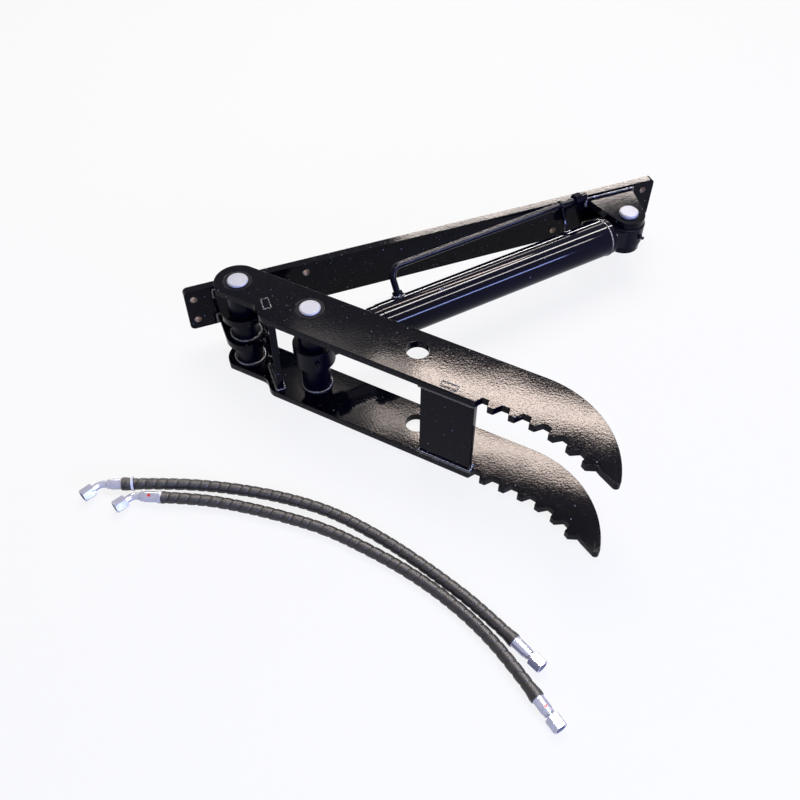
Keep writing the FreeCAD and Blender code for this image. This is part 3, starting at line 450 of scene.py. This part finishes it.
def brokenEdges(name, width):
    mesh = nodes[name].data.copy()
    work = bmesh.new()
    work.from_mesh(mesh)
    bmesh.ops.remove_doubles(work, verts=work.verts[:], dist=edges["merge"])
    flat = math.radians(edges["flat"])
    bmesh.ops.dissolve_limit(work, angle_limit=flat, verts=work.verts[:], edges=work.edges[:])
    bevelEdges(work, width)
    shadedMesh(work, mesh)
    piece = intoScene(camel(name), mesh)
    weigh = piece.modifiers.new("evenNormals", "WEIGHTED_NORMAL")
    weigh.keep_sharp = True
    weigh.weight = edges["normalWeight"]
    settleMesh(piece)
    if name in otherPaint:
        piece.data.materials.clear()
        piece.data.materials.append(otherPaint[name])
    if name == "mounting_bar":
        openHoles(piece, barHoles)
    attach(piece, bodyOf[name])
    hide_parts(name)


for name, width in edgeWork.items():
    brokenEdges(name, width)
print("edges broken on", len(edgeWork), "pieces")


# Geometry Nodes helpers
def newTree(name, inputs):
    tree = bpy.data.node_groups.new(name, "GeometryNodeTree")
    tree.interface.new_socket(name="Geometry", in_out="INPUT", socket_type="NodeSocketGeometry")
    for label, kind, value in inputs:
        socket = tree.interface.new_socket(name=label, in_out="INPUT", socket_type="NodeSocket" + kind)
        if value is not None:
            socket.default_value = value
    tree.interface.new_socket(name="Geometry", in_out="OUTPUT", socket_type="NodeSocketGeometry")
    return tree, tree.nodes.new("NodeGroupInput"), tree.nodes.new("NodeGroupOutput")


def vectorNode(tree, operation, a, b=None, scale=None):
    node = tree.nodes.new("ShaderNodeVectorMath")
    node.operation = operation
    for socket, value in ((0, a), (1, b), ("Scale", scale)):
        if value is not None:
            tree.links.new(value, node.inputs[socket])
    return node.outputs[0]


def setInputs(modifier, tree, values):
    for item in tree.interface.items_tree:
        if item.item_type == "SOCKET" and item.in_out == "INPUT" and item.name in values:
            modifier[item.identifier] = values[item.name]


def lineMesh(name, lines):
    # each line is (points, closed)
    mesh = bpy.data.meshes.new(name)
    verts, links = [], []
    for points, closed in lines:
        first = len(verts)
        verts += [tuple(p) for p in points]
        links += [(first + i, first + i + 1) for i in range(len(points) - 1)]
        if closed:
            links.append((len(verts) - 1, first))
    mesh.from_pydata(verts, links, [])
    return intoScene(name, mesh)


# Weld beads are overlapping drops of metal along a run; bead and step in millimetres
weld = {"bead": 3.0, "step": 2.3, "flat": 0.72, "spread": (0.86, 1.12), "segments": 12, "rings": 7, "seed": 7}


def weldTree():
    tree, start, end = newTree("weldRun", [
        ("Bead", "Float", 0.0026), ("Step", "Float", 0.0019), ("Flatness", "Float", 0.72), ("Seed", "Int", 7),
        ("Finish", "Material", None)])
    nodesIn, link = tree.nodes, tree.links.new
    line = nodesIn.new("GeometryNodeMeshToCurve")
    link(start.outputs["Geometry"], line.inputs["Mesh"])
    spaced = nodesIn.new("GeometryNodeResampleCurve")
    spaced.mode = "LENGTH"
    link(line.outputs[0], spaced.inputs["Curve"])
    link(start.outputs["Step"], spaced.inputs["Length"])
    drop = nodesIn.new("GeometryNodeMeshUVSphere")
    drop.inputs["Segments"].default_value, drop.inputs["Rings"].default_value = weld["segments"], weld["rings"]
    drop.inputs["Radius"].default_value = 1.0
    tangent = nodesIn.new("GeometryNodeInputTangent")
    turn = nodesIn.new("FunctionNodeAlignEulerToVector")
    turn.axis = "X"
    link(tangent.outputs[0], turn.inputs["Vector"])
    spread = nodesIn.new("FunctionNodeRandomValue")
    spread.data_type = "FLOAT"
    spread.inputs[2].default_value, spread.inputs[3].default_value = weld["spread"]
    link(start.outputs["Seed"], spread.inputs["Seed"])
    size = mathNode(tree, "MULTIPLY", start.outputs["Bead"], spread.outputs[1])
    shape = nodesIn.new("ShaderNodeCombineXYZ")
    link(mathNode(tree, "MULTIPLY", size, start.outputs["Flatness"]), shape.inputs[0])
    link(size, shape.inputs[1])
    link(size, shape.inputs[2])
    copies = nodesIn.new("GeometryNodeInstanceOnPoints")
    link(spaced.outputs["Curve"], copies.inputs["Points"])
    link(drop.outputs["Mesh"], copies.inputs["Instance"])
    link(turn.outputs["Rotation"], copies.inputs["Rotation"])
    link(shape.outputs[0], copies.inputs["Scale"])
    real = nodesIn.new("GeometryNodeRealizeInstances")
    link(copies.outputs[0], real.inputs[0])
    smooth = nodesIn.new("GeometryNodeSetShadeSmooth")
    link(real.outputs[0], smooth.inputs["Geometry"])
    paint = nodesIn.new("GeometryNodeSetMaterial")
    link(smooth.outputs[0], paint.inputs["Geometry"])
    link(start.outputs["Finish"], paint.inputs["Material"])
    link(paint.outputs[0], end.inputs["Geometry"])
    return tree


weldNodes = weldTree()


def weldPiece(name, body, lines, bead=weld["bead"]):
    piece = lineMesh(name, lines)
    modifier = piece.modifiers.new("weld", "NODES")
    modifier.node_group = weldNodes
    setInputs(modifier, weldNodes, {
        "Bead": bead * mm, "Step": bead * weld["step"] / weld["bead"] * mm, "Flatness": weld["flat"],
        "Seed": weld["seed"], "Finish": weldPaint})
    settleMesh(piece)
    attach(piece, body)
    print(name, len(piece.data.polygons), "faces")


def circle(centre, radius, axis=(0, 0, 1), count=40):
    axis = Vector(axis).normalized()
    side = axis.cross(Vector((0, 0, 1))) if abs(axis.z) < 0.9 else Vector((1, 0, 0))
    side.normalize()
    other = axis.cross(side)
    points = []
    for i in range(count):
        a = math.radians(360.0 * i / count)
        points.append((Vector(centre) + radius * (math.cos(a) * side + math.sin(a) * other)) * mm)
    return points, True


def straight(a, b):
    return [Vector(a) * mm, Vector(b) * mm], False


# Where the pieces stand, as in the solids: millimetres, and the arm's and the cylinder's directions at rest
pivot, rodPin = Vector((0, -64, 0)), Vector((79.701, -155.042, 0))
thumbAngle, cylinderAngle = math.radians(-48.8), math.radians(8.501)
cylinderAxis = (math.cos(cylinderAngle), math.sin(cylinderAngle), 0)
plateInside, plateOutside, earInside, earOutside, barFace = 70.5, 82.5, 18.5, 30.5, -12.0
pivotEar, cylinderEar = (-33, 33), (596, 682)
barrelRadius, portAngle, frontPort, rearPort = 30.0, 53.0, 150.0, 508.54


def thumbPoint(x, y, z):
    # along the arm from the pivot, and across it
    c, s = math.cos(thumbAngle), math.sin(thumbAngle)
    return Vector((x * c - y * s, x * s + y * c + pivot.y, z))


def cylinderPoint(s, radial, angle):
    # distance from the rod pin, distance from the centre line, angle up from the far side
    a = math.radians(angle)
    across = radial * math.cos(a)
    return Vector((rodPin.x + s * math.cos(cylinderAngle) - across * math.sin(cylinderAngle),
                   rodPin.y + s * math.sin(cylinderAngle) + across * math.cos(cylinderAngle), radial * math.sin(a)))


def onBarrel(station, angle, radius, out=0.4, count=26):
    # a round foot on the barrel: distance from the rod pin, angle round it, radius of what stands there
    points = []
    for i in range(count):
        a = 2 * math.pi * i / count
        across = radius * math.sin(a)
        height = math.sqrt(barrelRadius ** 2 - across ** 2) + out
        turned = angle + math.degrees(math.atan2(across, height))
        points.append(cylinderPoint(station + radius * math.cos(a), math.hypot(height, across), turned) * mm)
    return points, True


def box(plate, size, z):
    # a cross plate's foot or tenon as a closed run round it
    x, y = plate["place"]
    width, depth = size
    c, d = math.cos(math.radians(plate["turn"])), math.sin(math.radians(plate["turn"]))
    corners = [(-width / 2, -depth / 2), (width / 2, -depth / 2), (width / 2, depth / 2), (-width / 2, depth / 2)]
    return [thumbPoint(x + a * c - b * d, y + a * d + b * c, z) * mm for a, b in corners], True


# The hard tube's foot and holder, slimmer than the plain solids. Stations run from the rod pin along the barrel,
# and heights out from the barrel's axis towards the tube, in millimetres.
tubeFoot = {"station": frontPort, "radius": 8.0, "from": 27.0, "top": 37.0, "rim": 0.8, "sides": 32}
tubeHolder = {"station": 458.0, "thick": 4.0, "wide": 6.0, "eye": 7.5, "from": 29.6, "reach": 73.0, "rim": 0.3,
              "sides": 28, "endInside": 2}


def tubePiece(name, node, shapes, rim):
    # shapes are convex lists of points (along the barrel, out from its axis, across)
    side = Matrix.Rotation(cylinderAngle, 4, "Z") @ Matrix.Rotation(math.radians(portAngle), 4, "X")
    work = bmesh.new()
    for points in shapes:
        verts = [work.verts.new((rodPin + side @ Vector(q)) * mm) for q in points]
        bmesh.ops.convex_hull(work, input=verts)
    flat = math.radians(edges["flat"])
    bmesh.ops.dissolve_limit(work, angle_limit=flat, verts=work.verts[:], edges=work.edges[:])
    bevelEdges(work, rim)
    mesh = bpy.data.meshes.new(name)
    shadedMesh(work, mesh)
    mesh.materials.append(smoothPaint)
    piece = intoScene(name, mesh)
    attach(piece, bodyOf[node])
    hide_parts(node)


def ringTurns(radius, count):
    turns = [2 * math.pi * i / count for i in range(count)]
    return [(radius * math.cos(a), radius * math.sin(a)) for a in turns]


def footShapes(f):
    ring = ringTurns(f["radius"], f["sides"])
    return [[(f["station"] + a, out, b) for out in (f["from"], f["top"]) for a, b in ring]]


def holderShapes(h):
    # a flat bar with an eye round the tube; the bar ends a little inside the eye
    faces, half = (h["station"], h["station"] + h["thick"]), h["wide"] / 2
    bar = [(x, y, z) for x in faces for y in (h["from"], h["reach"] - h["endInside"]) for z in (-half, half)]
    return [bar, [(x, h["reach"] + a, b) for x in faces for a, b in ringTurns(h["eye"], h["sides"])]]


tubePiece("tubeFoot", "front_port_boss", footShapes(tubeFoot), tubeFoot["rim"])
tubePiece("tubeHolder", "tube_stay", holderShapes(tubeHolder), tubeHolder["rim"])


# Cross plates of the arm: place along and across it, turn, and the sizes of the foot's weld and of the tenon's seam
stiffener = {"place": (61.5, -20.5), "turn": -43, "foot": (53.5, 11.5), "tenon": (20.6, 10.6), "sunk": 1.0}
crossPlate = {"place": (355, -38), "turn": 0, "foot": (79.5, 12.0), "tenon": (23.6, 10.6), "sunk": 1.3}
# Beads for the smaller runs, the radius of each round run, and how far runs are sunk in what they join
runs = {"seamBead": 0.9, "rodBead": 1.8, "barrelBead": 1.9, "boss": 22.0, "rod": 15.6, "cap": 29.5, "rearPort": 12.0,
        "holder": 4.6, "bossSunk": 1.2, "seamSunk": 0.3, "earSunk": 1.0, "earOut": 1.2, "barOut": 1.2}
# The runs at the rod's eye, the base cap and the lug's neck: how far from the rod pin; the neck's run is four straights
stations = {"rod": 46.3, "cap": 519.6, "neck": 532.0}
neckHalf = (21, 15)
# A blemish on the barrel: a short run of six drops
blemish = {"station": 206, "step": 2, "radius": 29.8, "angle": 101, "swing": 1.5, "turn": 1.3, "drops": 6}

thumbWelds, tenonSeams, baseWelds, barrelWelds = [], [], [], []
for side in (-1, 1):
    for centre in (pivot, rodPin):
        thumbWelds.append(circle((centre.x, centre.y, side * (plateInside - runs["bossSunk"])), runs["boss"]))
    for plate in (stiffener, crossPlate):
        thumbWelds.append(box(plate, plate["foot"], side * (plateInside - plate["sunk"])))
        tenonSeams.append(box(plate, plate["tenon"], side * (plateOutside - runs["seamSunk"])))
    baseWelds.append(circle((pivot.x, pivot.y, side * (earInside - runs["earSunk"])), runs["boss"]))
    y = barFace - runs["barOut"]
    for left, right in (pivotEar, cylinderEar):
        for z in (earInside - runs["earSunk"], earOutside + runs["earOut"]):
            baseWelds.append(straight((left, y, side * z), (right, y, side * z)))
        for x in (left, right):
            baseWelds.append(straight((x, y, side * earInside), (x, y, side * earOutside)))
weldPiece("thumbWelds", "thumb", thumbWelds)
weldPiece("tenonSeams", "thumb", tenonSeams, runs["seamBead"])
weldPiece("baseWelds", "base", baseWelds)
rodRun = circle(cylinderPoint(stations["rod"], 0, 0), runs["rod"], cylinderAxis)
weldPiece("rodWeld", "rod", [rodRun], runs["rodBead"])
barrelWelds.append(circle(cylinderPoint(stations["cap"], 0, 0), runs["cap"], cylinderAxis, count=60))
barrelWelds.append(onBarrel(frontPort, portAngle, tubeFoot["radius"] + 1))
barrelWelds.append(onBarrel(rearPort, -portAngle, runs["rearPort"]))
holderMiddle = tubeHolder["station"] + tubeHolder["thick"] / 2
barrelWelds.append(onBarrel(holderMiddle, portAngle, runs["holder"], out=0.2, count=14))
barrelWelds.append(([cylinderPoint(blemish["station"] + blemish["step"] * i, blemish["radius"],
                                   blemish["angle"] + blemish["swing"] * math.sin(i * blemish["turn"])) * mm
                     for i in range(blemish["drops"])], False))
neck = [cylinderPoint(stations["neck"], math.hypot(y, z), math.degrees(math.atan2(z, y))) for y, z in (
    (a * neckHalf[0], b * neckHalf[1]) for a, b in ((-1, -1), (1, -1), (1, 1), (-1, 1)))]
barrelWelds.append(([q * mm for q in neck], True))
weldPiece("barrelWelds", "barrel", barrelWelds, runs["barrelBead"])
print("welds made")


# Hoses, in millimetres: the points of each centre line as in the solids, the seed of its wraps, and how far the cuffs
# reach over the bent and the straight ferrule (below 0 they stop short)
hoses = {
    "hose_a": {"points": ((-222, -241), (-172, -259), (-118, -282), (-66, -311), (-16, -345), (29, -384),
                          (66, -430), (99, -479), (129, -531), (156, -584), (178, -640)),
               "seed": 3, "cuffs": (6.0, 2.0)},
    "hose_b": {"points": ((-184, -279), (-134, -301), (-84, -331), (-35, -367), (12, -406), (51, -451),
                          (88, -499), (119, -549), (144, -602), (161, -657), (172, -712)),
               "seed": 8, "cuffs": (-2.4, 4.0)},
}
sleeve = {"radius": 8.35, "pitch": 14.6, "depth": 1.5, "step": 0.8, "sides": 40, "swell": 1.0,
          "lieHeight": -74.1, "endHeight": -72.285}
cuff = {"radius": 9.3, "depth": 0.45, "inside": 15.0, "swell": 12.0, "sunk": 0.4}
# Form of a wrap: how unevenly it winds, how sharp and deep its joint is, and how much it leans
wrapForm = {"wander": 0.7, "wanderScale": 26.0, "jointPower": 4.5, "jointDepth": 0.8, "lean": 0.35}


def sleeveTree(w):
    tree, start, end = newTree("wrappedSleeve", [
        ("Radius", "Float", 0.0075), ("Start Radius", "Float", 0.0075), ("Swell Length", "Float", 0.001),
        ("Pitch", "Float", 0.0146), ("Depth", "Float", 0.001), ("Step", "Float", 0.0008),
        ("Sides", "Int", 40), ("Seed", "Float", 3.0), ("Finish", "Material", None)])
    nodesIn, link = tree.nodes, tree.links.new

    def store(geometry, label, kind, value):
        node = nodesIn.new("GeometryNodeStoreNamedAttribute")
        node.data_type = kind
        node.domain = "POINT"
        node.inputs["Name"].default_value = label
        link(geometry, node.inputs["Geometry"])
        link(value, node.inputs["Value"])
        return node.outputs["Geometry"]

    def recall(label, kind):
        node = nodesIn.new("GeometryNodeInputNamedAttribute")
        node.data_type = kind
        node.inputs["Name"].default_value = label
        return node.outputs["Attribute"]

    line = nodesIn.new("GeometryNodeMeshToCurve")
    link(start.outputs["Geometry"], line.inputs["Mesh"])
    spaced = nodesIn.new("GeometryNodeResampleCurve")
    spaced.mode = "LENGTH"
    link(line.outputs[0], spaced.inputs["Curve"])
    link(start.outputs["Step"], spaced.inputs["Length"])
    along = nodesIn.new("GeometryNodeSplineParameter")
    place = nodesIn.new("GeometryNodeInputPosition")
    run = store(spaced.outputs["Curve"], "runLength", "FLOAT", along.outputs["Length"])
    run = store(run, "runCentre", "FLOAT_VECTOR", place.outputs[0])
    ringShape = nodesIn.new("GeometryNodeCurvePrimitiveCircle")
    link(start.outputs["Sides"], ringShape.inputs["Resolution"])
    link(start.outputs["Radius"], ringShape.inputs["Radius"])
    ringLine = store(ringShape.outputs["Curve"], "turn", "FLOAT", along.outputs["Factor"])
    tube = nodesIn.new("GeometryNodeCurveToMesh")
    link(run, tube.inputs["Curve"])
    link(ringLine, tube.inputs["Profile Curve"])
    tube.inputs["Fill Caps"].default_value = True
    length, turn, centre = recall("runLength", "FLOAT"), recall("turn", "FLOAT"), recall("runCentre", "FLOAT_VECTOR")
    wander = nodesIn.new("ShaderNodeTexNoise")
    wander.noise_dimensions = "1D"
    wander.inputs["Scale"].default_value, wander.inputs["Detail"].default_value = 1.0, 1.0
    link(mathNode(tree, "MULTIPLY_ADD", length, w["wanderScale"], start.outputs["Seed"]), wander.inputs["W"])
    phase = mathNode(tree, "ADD", mathNode(tree, "DIVIDE", length, start.outputs["Pitch"]), turn)
    phase = mathNode(tree, "MULTIPLY_ADD", wander.outputs["Fac"], w["wander"], phase)
    wrap = mathNode(tree, "FRACT", phase)
    shaped = store(tube.outputs["Mesh"], "wrapPlace", "FLOAT", wrap)
    off = mathNode(tree, "ABSOLUTE", mathNode(tree, "MULTIPLY_ADD", wrap, 2.0, -1.0))
    joint = mathNode(tree, "MULTIPLY", mathNode(tree, "POWER", off, w["jointPower"]), w["jointDepth"])
    lower = mathNode(tree, "MULTIPLY_ADD", wrap, w["lean"], joint)
    lower = mathNode(tree, "MULTIPLY", lower, start.outputs["Depth"])
    swell = nodesIn.new("ShaderNodeMapRange")
    swell.interpolation_type = "SMOOTHSTEP"
    link(length, swell.inputs["Value"])
    link(start.outputs["Swell Length"], swell.inputs["From Max"])
    link(start.outputs["Start Radius"], swell.inputs["To Min"])
    link(start.outputs["Radius"], swell.inputs["To Max"])
    radius = mathNode(tree, "SUBTRACT", swell.outputs["Result"], lower)
    outward = vectorNode(tree, "NORMALIZE", vectorNode(tree, "SUBTRACT", place.outputs[0], centre))
    move = nodesIn.new("GeometryNodeSetPosition")
    link(shaped, move.inputs["Geometry"])
    link(vectorNode(tree, "ADD", centre, vectorNode(tree, "SCALE", outward, scale=radius)), move.inputs["Position"])
    smooth = nodesIn.new("GeometryNodeSetShadeSmooth")
    link(move.outputs[0], smooth.inputs["Geometry"])
    paint = nodesIn.new("GeometryNodeSetMaterial")
    link(smooth.outputs[0], paint.inputs["Geometry"])
    link(start.outputs["Finish"], paint.inputs["Material"])
    link(paint.outputs[0], end.inputs["Geometry"])
    return tree


sleeveNodes = sleeveTree(wrapForm)


def centreLine(name, plan):
    # the hose's centre line, read back from the smooth curve through the plan's points
    curve = bpy.data.curves.new(name + "Line", "CURVE")
    curve.dimensions = "3D"
    curve.resolution_u = 24
    spline = curve.splines.new("NURBS")
    spline.points.add(len(plan) - 1)
    last = len(plan) - 1
    for i, (x, y) in enumerate(plan):
        z = sleeve["endHeight"] if i in (0, 1, last - 1, last) else sleeve["lieHeight"]
        spline.points[i].co = (x * mm, y * mm, z * mm, 1.0)
    spline.order_u = 3
    spline.use_endpoint_u = True
    obj = intoScene(name + "Line", curve)
    graph = bpy.context.evaluated_depsgraph_get()
    made = bpy.data.meshes.new_from_object(obj.evaluated_get(graph), depsgraph=graph)
    points = [v.co.copy() for v in made.vertices]
    bpy.data.objects.remove(obj)
    bpy.data.meshes.remove(made)
    return points


def wrapped(name, path, radius, startRadius, swell, depth, seed):
    piece = lineMesh(name, [(path, False)])
    modifier = piece.modifiers.new("sleeve", "NODES")
    modifier.node_group = sleeveNodes
    setInputs(modifier, sleeveNodes, {
        "Radius": radius * mm, "Start Radius": startRadius * mm, "Swell Length": swell * mm, "Depth": depth * mm,
        "Pitch": sleeve["pitch"] * mm, "Step": sleeve["step"] * mm, "Sides": sleeve["sides"], "Seed": float(seed),
        "Finish": finishes["hose_sleeve"]})
    return settleMesh(piece)


def cuffLine(path, over):
    # from inside the hose out over its ferrule
    inside = [path[0]]
    for point in path[1:]:
        if (point - path[0]).length > cuff["inside"] * mm:
            break
        inside.append(point)
    out = (path[0] - path[1]).normalized()
    ends = [path[0] + out * over * mm] if over > 0 else []
    if over < 0:
        inside = [q for q in inside if (q - path[0]).length > -over * mm]
    return list(reversed(inside)) + ends


# The tie round hose A is drawn tight and cut off short; millimetres from the hose's end, and its lean in degrees
tie = {"from": 9.0, "radius": 9.75, "thick": 0.9, "wide": 3.4, "lean": 9.0, "sides": 48}


def tieBand(path, t):
    i = min(range(1, len(path)), key=lambda k: abs((path[k] - path[0]).length - t["from"] * mm))
    along = (path[i] - path[i - 1]).normalized()
    along = Matrix.Rotation(math.radians(t["lean"]), 3, "Z") @ along
    side = along.cross(Vector((0, 0, 1))).normalized()
    up = side.cross(along)
    outer, inner, half = t["radius"], t["radius"] - t["thick"], t["wide"] / 2
    section = ((inner, -half), (outer, -half), (outer, half), (inner, half))
    work = bmesh.new()
    rings = []
    for k in range(t["sides"]):
        a = 2 * math.pi * k / t["sides"]
        out = math.cos(a) * side + math.sin(a) * up
        rings.append([work.verts.new(path[i] + (out * r + along * w) * mm) for r, w in section])
    for k, ring in enumerate(rings):
        after = rings[(k + 1) % len(rings)]
        for j in range(4):
            work.faces.new((ring[j], ring[(j + 1) % 4], after[(j + 1) % 4], after[j]))
    bmesh.ops.recalc_face_normals(work, faces=work.faces[:])
    mesh = bpy.data.meshes.new("tieBand")
    shadedMesh(work, mesh)
    mesh.materials.append(finishes["tie_white"])
    band = intoScene("tieBand", mesh)
    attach(band, "hose_a")
    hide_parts("cable_tie")
    return band


def buildHose(name, facts):
    path = centreLine(name, facts["points"])
    piece = wrapped(camel(name) + "Sleeve", path, sleeve["radius"], sleeve["radius"], sleeve["swell"], sleeve["depth"],
                    facts["seed"])
    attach(piece, name)
    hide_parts(name + "_sleeve")
    onIt = [camel(name + end + part) for end in ("_elbow", "_straight") for part in ("_ferrule", "_stem", "_nut")]
    if name == "hose_a":
        onIt.append(tieBand(path, tie).name)
    for end, line, over in (("Elbow", path, facts["cuffs"][0]), ("Straight", path[::-1], facts["cuffs"][1])):
        cover = wrapped(camel(name) + end + "Cuff", cuffLine(line, over), cuff["radius"],
                        sleeve["radius"] - cuff["sunk"], cuff["swell"], cuff["depth"], facts["seed"] + 1)
        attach(cover, name)
        onIt.append(cover.name)


for name, facts in hoses.items():
    buildHose(name, facts)
print("hoses made")


# Floor and world: the floor's size in metres and height in millimetres; seenWhite is the share of plain white in what
# the camera and reflections see of the floor, so that it stays pale and keeps the shadow
studio = {"floorSize": 14.0, "floorHeight": -82.5, "floorShade": 0.88, "floorRoughness": 0.9, "seenWhite": 0.85,
          "fill": 0.25, "fillColour": (0.80, 0.87, 1.0, 1)}


def seenByEye(tree):
    # 1 for what the camera sees straight, in a reflection or through glass
    light = tree.nodes.new("ShaderNodeLightPath")
    either = mathNode(tree, "MAXIMUM", light.outputs["Is Camera Ray"], light.outputs["Is Glossy Ray"])
    return mathNode(tree, "MAXIMUM", either, light.outputs["Is Transmission Ray"])


def buildFloor(s):
    half = s["floorSize"] / 2
    mesh = bpy.data.meshes.new("floor")
    z = s["floorHeight"] * mm
    mesh.from_pydata([(-half, -half, z), (half, -half, z), (half, half, z), (-half, half, z)], [], [(0, 1, 2, 3)])
    obj = intoScene("floor", mesh)
    material = bpy.data.materials.new("paleFloor")
    material.use_nodes = True
    tree = material.node_tree
    shader, out = tree.nodes["Principled BSDF"], tree.nodes["Material Output"]
    shader.inputs["Base Color"].default_value = (s["floorShade"],) * 3 + (1,)
    shader.inputs["Roughness"].default_value = s["floorRoughness"]
    shader.inputs["Specular IOR Level"].default_value = 0.0
    white = tree.nodes.new("ShaderNodeEmission")
    mix = tree.nodes.new("ShaderNodeMixShader")
    tree.links.new(mathNode(tree, "MULTIPLY", seenByEye(tree), s["seenWhite"]), mix.inputs[0])
    tree.links.new(shader.outputs[0], mix.inputs[1])
    tree.links.new(white.outputs[0], mix.inputs[2])
    tree.links.new(mix.outputs[0], out.inputs["Surface"])
    mesh.materials.append(material)


def buildWorld(s):
    world = bpy.data.worlds.new("studioAir")
    world.use_nodes = True
    tree = world.node_tree
    tree.nodes.clear()
    out = tree.nodes.new("ShaderNodeOutputWorld")
    fill, white = tree.nodes.new("ShaderNodeBackground"), tree.nodes.new("ShaderNodeBackground")
    mix = tree.nodes.new("ShaderNodeMixShader")
    fill.inputs["Color"].default_value, fill.inputs["Strength"].default_value = s["fillColour"], s["fill"]
    white.inputs["Color"].default_value, white.inputs["Strength"].default_value = (1, 1, 1, 1), 1.0
    tree.links.new(seenByEye(tree), mix.inputs[0])
    tree.links.new(fill.outputs[0], mix.inputs[1])
    tree.links.new(white.outputs[0], mix.inputs[2])
    tree.links.new(mix.outputs[0], out.inputs["Surface"])
    bpy.context.scene.world = world


# Lamps. Two light the colours. The long narrow ones show only in the gloss: the slant strips are the bright band on
# the arm, and each of the others is a streak along the cylinder, the bar or the tube. Centres, lengths and widths are
# in metres, headings in degrees, and a strength is the brightness that a mirror would show.
lampTarget = (0.35, -0.25, 0.0)
lamps = {
    "softOverhead": {"centre": (0.70, 0.80, 2.40), "heading": 0, "size": (1.8, 1.8), "strength": 5.2,
                     "colour": (1.0, 0.96, 0.93), "shows": "colour"},
    "lowBlue": {"centre": (0.60, -2.30, 0.75), "heading": 8.5, "size": (1.8, 0.5), "strength": 18.0,
                "colour": (0.30, 0.38, 1.0), "shows": "colour"},
    "slantStrip": {"centre": (1.068, 0.8705, 1.80), "heading": -39.5, "size": (0.80, 0.098), "strength": 125.0,
                   "colour": (1.0, 0.84, 0.75), "shows": "gloss"},
    "slantStripMiddle": {"centre": (0.69, 1.183, 1.80), "heading": -39.5, "size": (0.182, 0.098), "strength": 42.0,
                         "colour": (1.0, 0.86, 0.78), "shows": "gloss"},
    "slantStripEnd": {"centre": (0.50, 1.37, 1.80), "heading": -48, "size": (0.34, 0.12), "strength": 7.0,
                      "colour": (1.0, 0.90, 0.83), "shows": "gloss"},
    "barStrip": {"centre": (1.80, 2.055, 1.80), "heading": 0, "size": (1.5, 0.085), "strength": 72.0,
                 "colour": (1.0, 0.90, 0.84), "shows": "gloss"},
    "overStrip": {"centre": (1.15, 0.20, 1.80), "heading": 8.5, "size": (1.6, 0.17), "strength": 118.0,
                  "colour": (1.0, 0.94, 0.90), "shows": "gloss"},
    "frontStrip": {"centre": (1.20, -0.95, 1.80), "heading": 8.5, "size": (1.6, 0.14), "strength": 90.0,
                   "colour": (1.0, 0.93, 0.90), "shows": "gloss"},
    "frontBlue": {"centre": (1.25, -2.05, 0.95), "heading": 8.5, "size": (1.8, 0.2), "strength": 95.0,
                  "colour": (0.36, 0.46, 1.0), "shows": "gloss"},
    "farLow": {"centre": (0.95, 2.45, 0.66), "heading": 8.5, "size": (2.0, 0.08), "strength": 110.0,
               "colour": (1.0, 0.95, 0.92), "shows": "gloss"},
}


def buildLamp(name, l):
    # its long side lies along the heading, and it faces the target as far as that allows
    data = bpy.data.lights.new(name, "AREA")
    length, width = l["size"]
    data.shape, data.size, data.size_y, data.color = "RECTANGLE", length, width, l["colour"]
    data.energy = l["strength"] * math.pi * length * width
    obj = intoScene(name, data)
    x = Vector((math.cos(math.radians(l["heading"])), math.sin(math.radians(l["heading"])), 0))
    z = Vector(l["centre"]) - Vector(lampTarget)
    z = (z - z.dot(x) * x).normalized()
    obj.matrix_world = placedAt((x, z.cross(x), z), l["centre"])
    obj.visible_diffuse, obj.visible_glossy = l["shows"] == "colour", l["shows"] == "gloss"


buildFloor(studio)
buildWorld(studio)
for name, facts in lamps.items():
    buildLamp(name, facts)
print("studio built")
